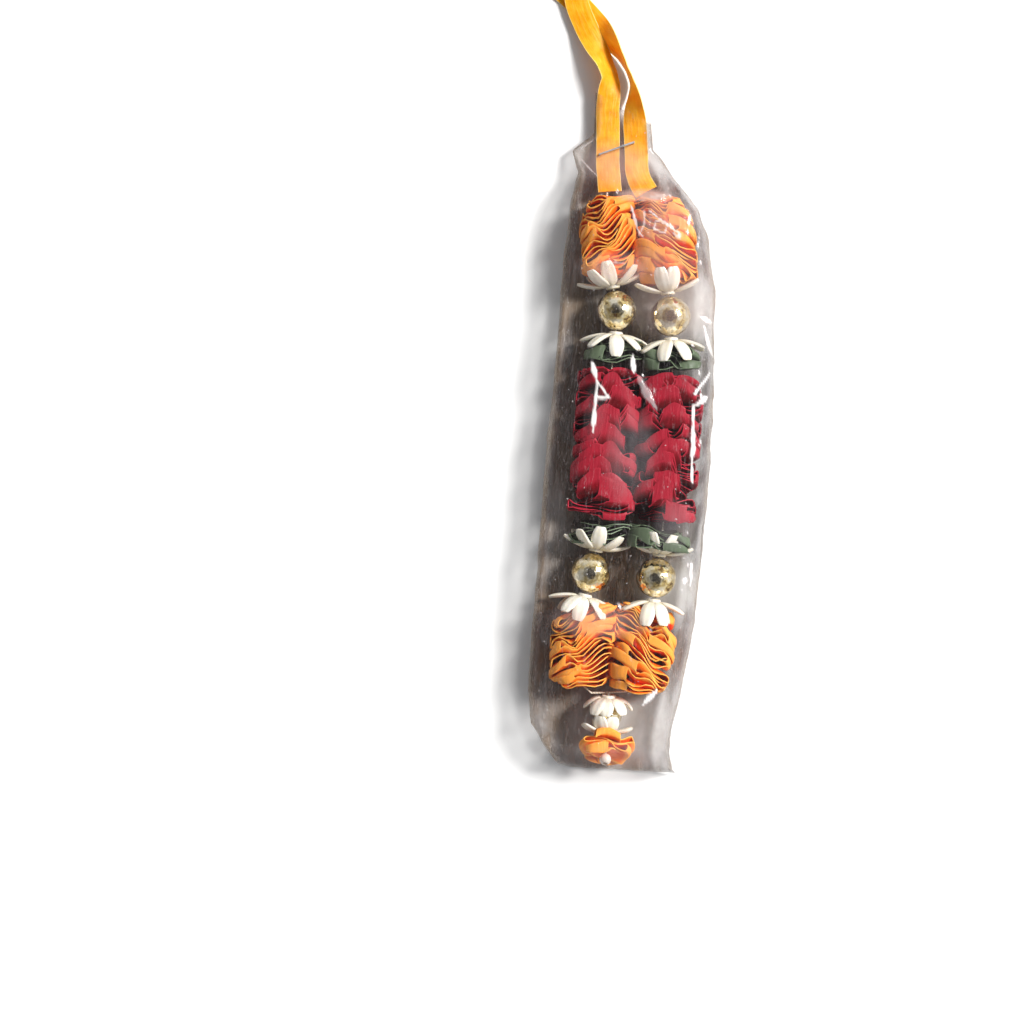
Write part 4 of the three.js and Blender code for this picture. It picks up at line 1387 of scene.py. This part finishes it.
    def _ridges(self, place: Points) -> tuple[Points, Points]:
        """Raises the creases, each thin at its ends and steep on the window's side.

        Args:
            place: The film's points.

        Returns:
            How high the creases stand at each point seen from above, and how strong the painted glint along
            them is there.
        """
        height, milk = np.zeros(len(place)), np.zeros(len(place))
        lit = np.array(self.lit_from[:2])
        for crease in self.creases:
            points = np.array(crease.points)
            sizes = np.linalg.norm(np.diff(points, axis=0), axis=1)
            for number, (start, size) in enumerate(zip(points[:-1], sizes)):
                way = (points[number + 1] - start) / size
                flank = np.array([way[1], -way[0]])
                flank = flank if flank @ lit > 0 else -flank
                offset = place[:, :2] - start
                along, off = offset @ way, offset @ flank
                part = (sizes[:number].sum() + along) / sizes.sum()
                width = crease.width * np.sqrt(np.clip(4 * part * (1 - part), 0.03, 1))
                ends = smooth_rise((along + 0.0006) / 0.0009) * smooth_rise((size + 0.0006 - along) / 0.0009)
                rise = np.where(off > 0, 1 - off / width, 1 + off / (3.5 * width))
                height = np.maximum(height, self.lit_slope * width * np.clip(rise, 0, 1) * ends)
                uneven = 0.95 + 0.4 * np.sin(along / 0.0017 + 1900 * start[0]) * np.sin(along / 0.0041)
                line = np.exp(-((off / (uneven * np.maximum(0.0004, 0.55 * width))) ** 2)) * ends
                milk = np.maximum(milk, crease.milk * smooth_rise((line - 0.3) / 0.35))
        return height, milk

    def _facing(self, place: Points, count: int) -> Points:
        """Finds how squarely the film faces the way that the window glints from.

        Args:
            place: The film's points.
            count: How many rings there are.

        Returns:
            A share for each point, 1 where it faces that way.
        """
        grid = place.reshape(count, self.round_points, 3)
        around = np.roll(grid, -1, axis=1) - np.roll(grid, 1, axis=1)
        normal = np.cross(around, np.gradient(grid, axis=0)).reshape(-1, 3)
        normal /= np.maximum(1e-12, np.linalg.norm(normal, axis=1, keepdims=True))
        return np.abs(normal @ (np.array(self.lit_from) / np.linalg.norm(self.lit_from)))

    def _glints(self, place: Points, count: int) -> Points:
        """Paints white glints on the film in broken streaks where it faces the window, but not at its foot.

        Args:
            place: The film's points.
            count: How many rings there are.

        Returns:
            How strong the painted glint is at each point.
        """
        broken = np.array([noise.noise(Vector((900 * x, 150 * y, 3.0))) for x, y, _ in place])
        facing = self._facing(place, count)
        sharp = 0.9 * smooth_rise((facing - 0.985) / 0.01) * smooth_rise((broken - 0.15) / 0.12)
        faint = 0.06 * smooth_rise((facing - 0.965) / 0.02) * smooth_rise((broken + 0.15) / 0.3)
        return np.maximum(sharp, faint) * smooth_rise((place[:, 1] + 0.085) / 0.01)

    def _patches(self, place: Points) -> dict[str, Points]:
        """Lays the hazes over the film.

        Args:
            place: The film's points.

        Returns:
            How strong each kind of haze is at each point.
        """
        patches = {name: np.zeros(len(place)) for name in ("blush", "milk", "veil", "thin")}
        for haze in self.hazes:
            reach = ((place[:, 0] - haze.x) / haze.half_x) ** 2 + ((place[:, 1] - haze.y) / haze.half_y) ** 2
            for name, values in patches.items():
                np.maximum(values, getattr(haze, name) * np.exp(-(reach ** 2)), out=values)
        return patches

    def shell(self) -> Shell:
        """Builds the crumpled film.

        Returns:
            Its mesh, and at each point how cloudy it is, which is partly painted shade, and how strong its
            painted glint, pink reflection and reflection veil are.
        """
        rows = self._smooth_rings()
        skin = loft(np.array([self._ring(row) for row in rows]), foot=True)
        place = skin.vertices
        left, right, low, high = (np.repeat(rows[:, column], self.round_points) for column in range(1, 5))
        middle, thick = (low + high) / 2, high - low
        outward = place - np.stack([(left + right) / 2, place[:, 1], middle], -1)
        outward = outward * np.array([1.0, 0.0, self.lean_out])
        outward /= np.linalg.norm(outward, axis=1, keepdims=True)
        on_top = smooth_rise((place[:, 2] - middle) / (0.4 * thick))
        depth = np.minimum(1.0, thick / 0.012) * np.where(place[:, 2] < middle, 0.5, 1.0)
        height, milk = self._ridges(place)
        place = place + outward * self._crumple(place, depth)[:, None]
        place[:, 2] += height * on_top
        place[:, 2] = np.clip(place[:, 2], 0.0, self.highest)
        skin.vertices = place
        patches = self._patches(place)
        # painted glints: along the creases, where the film faces the window, and in white patches
        milk = np.maximum.reduce([milk, self._glints(place, len(rows)), patches["milk"]])
        # The grey-brown cloud along the edges, at the foot and underneath is partly the film lying double and
        # partly painted shade.
        inside = np.minimum(place[:, 0] - left, right - place[:, 0])
        shaded_edge = 0.75 * np.clip(1 - inside / self.edge_width, 0, 1)
        foot = 0.3 * smooth_rise((-0.1 - place[:, 1]) / 0.008)
        under = smooth_rise((middle - place[:, 2]) / (0.3 * thick))
        under *= 1 - 0.5 * smooth_rise((place[:, 1] - self.mouth) / 0.006)
        cloud = np.maximum.reduce([shaded_edge, foot, under * (1 - patches["thin"])])
        skin.shares = {"cloud": np.clip(cloud, 0, 1), "milk": milk * on_top,
                       "blush": patches["blush"] * on_top, "veil": patches["veil"] * on_top}
        return skin

    def add(self) -> bpy.types.Object:
        """Adds the film bag."""
        return add_piece("bag", "film", self.shell(), self.finish.material(), 180.0)


# Setting


@dataclass
class Studio:
    """The camera straight above, a plain pale floor and soft daylight from the right."""

    middle: tuple[float, float] = (-0.03545, -0.0291)
    width_seen: float = 0.3277
    height_seen: float = 0.0087
    up: tuple[float, float, float] = (-0.061, 0.9981, 0.0)
    lens: float = 85.0
    sensor: float = 36.0
    floor_size: float = 6.0
    floor_drop: float = 0.0001
    sun_strength: float = 4.3
    sun_width_degrees: float = 16.0
    sun_from: tuple[float, float, float] = (0.68, 0.36, 0.66)
    glint_strength: float = 0.35
    glint_width_degrees: float = 2.5
    sun_colour: tuple[float, float, float] = (1.0, 0.985, 0.96)
    room_strength: float = 1.15
    room_colour: tuple[float, float, float] = (0.95, 0.97, 1.0)
    overhead: tuple[float, float, float] = (0.91, 0.58, 0.05)  # darkest and lightest height, dark's share
    window_way: tuple[float, float, float] = (0.86, 0.5, 0.0)
    far_side: tuple[float, float, float] = (-0.7, 0.7, 0.3)  # against and with that way, and its share

    def add_camera(self) -> None:
        """Adds the camera at the photograph's angle."""
        data = bpy.data.cameras.new("camera")
        data.lens, data.sensor_width = self.lens, self.sensor
        data.clip_start, data.clip_end = 0.01, 20.0
        camera = placed("camera", data)
        up = Vector(self.up).normalized()
        right = up.cross(Vector((0.0, 0.0, 1.0)))
        turn = Matrix((right, up, (0.0, 0.0, 1.0))).transposed()
        distance = self.width_seen / 2 / (self.sensor / 2 / self.lens)
        camera.matrix_world = Matrix.Translation((*self.middle, self.height_seen + distance)) @ turn.to_4x4()
        bpy.context.scene.camera = camera

    def add_floor(self) -> None:
        """Adds the pale surface that the garland lies on."""
        half = self.floor_size / 2
        mesh = bpy.data.meshes.new("floor")
        corners = [(-half, -half), (half, -half), (half, half), (-half, half)]
        mesh.from_pydata([(x, y, -self.floor_drop) for x, y in corners], [], [(0, 1, 2, 3)])
        mesh.materials.append(Paper().material())
        placed("floor", mesh)

    def _add_sun(self, name: str, strength: float, width_degrees: float) -> None:
        """Adds a far light from the window's side.

        Args:
            name: The light's name.
            strength: In watts for each square metre.
            width_degrees: How wide the light looks, which softens its shadows.
        """
        sun = bpy.data.lights.new(name, "SUN")
        sun.energy, sun.angle, sun.color = strength, math.radians(width_degrees), self.sun_colour
        lamp = placed(name, sun)
        lamp.rotation_mode = "QUATERNION"
        lamp.rotation_quaternion = Vector(self.sun_from).to_track_quat("Z", "Y")

    def add_lights(self) -> None:
        """Adds soft daylight, a narrow light that glints, and a room that is dark overhead."""
        self._add_sun("window", self.sun_strength, self.sun_width_degrees)
        self._add_sun("pane", self.glint_strength, self.glint_width_degrees)
        world = bpy.data.worlds.new("room")
        room = NodeTree(world)
        way = room.node("TexCoord").outputs["Generated"]
        height = room.node("SeparateXYZ", {0: way}).outputs[2]
        aside = room.node("VectorMath", {0: way, 1: self.window_way}, operation="DOT_PRODUCT")
        share = room.math("MULTIPLY", room.ramp(height, *self.overhead),
                          room.ramp(aside.outputs["Value"], *self.far_side))
        background = room.tree.nodes["Background"]
        background.inputs["Color"].default_value = (*self.room_colour, 1.0)
        room.tree.links.new(room.math("MULTIPLY", share, self.room_strength), background.inputs["Strength"])
        bpy.context.scene.world = world
        bpy.context.scene.view_settings.view_transform = "Standard"


def dress_nodes() -> None:
    """Gives the solids that stay their finishes."""
    for node, finish in (("thread", Cotton()), ("staple", StapleWire())):
        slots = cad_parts[node].data.materials
        slots.clear()
        slots.append(finish.material())
        LOG.info("%s: %s", node, finish.name)


def main() -> None:
    """Builds the garland's looks round its solids."""
    logging.basicConfig(level=logging.INFO, format="%(message)s")
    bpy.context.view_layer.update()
    studio = Studio()
    studio.add_camera()
    NeckRibbon().add()
    studio.add_floor()
    studio.add_lights()
    finishes = {gather.value.finish for gather in Gather}
    materials = {finish.name: finish.material()
                 for finish in sorted(finishes, key=lambda finish: finish.name)}
    materials.update(petal=PetalPlastic().material(), gold=GoldFoil().material(), pearl=Pearl().material())
    for strand in STRANDS:
        strand.add(materials)
    Pendant().add(materials)
    FilmBag().add()
    dress_nodes()


if __name__ == "__main__":
    main()
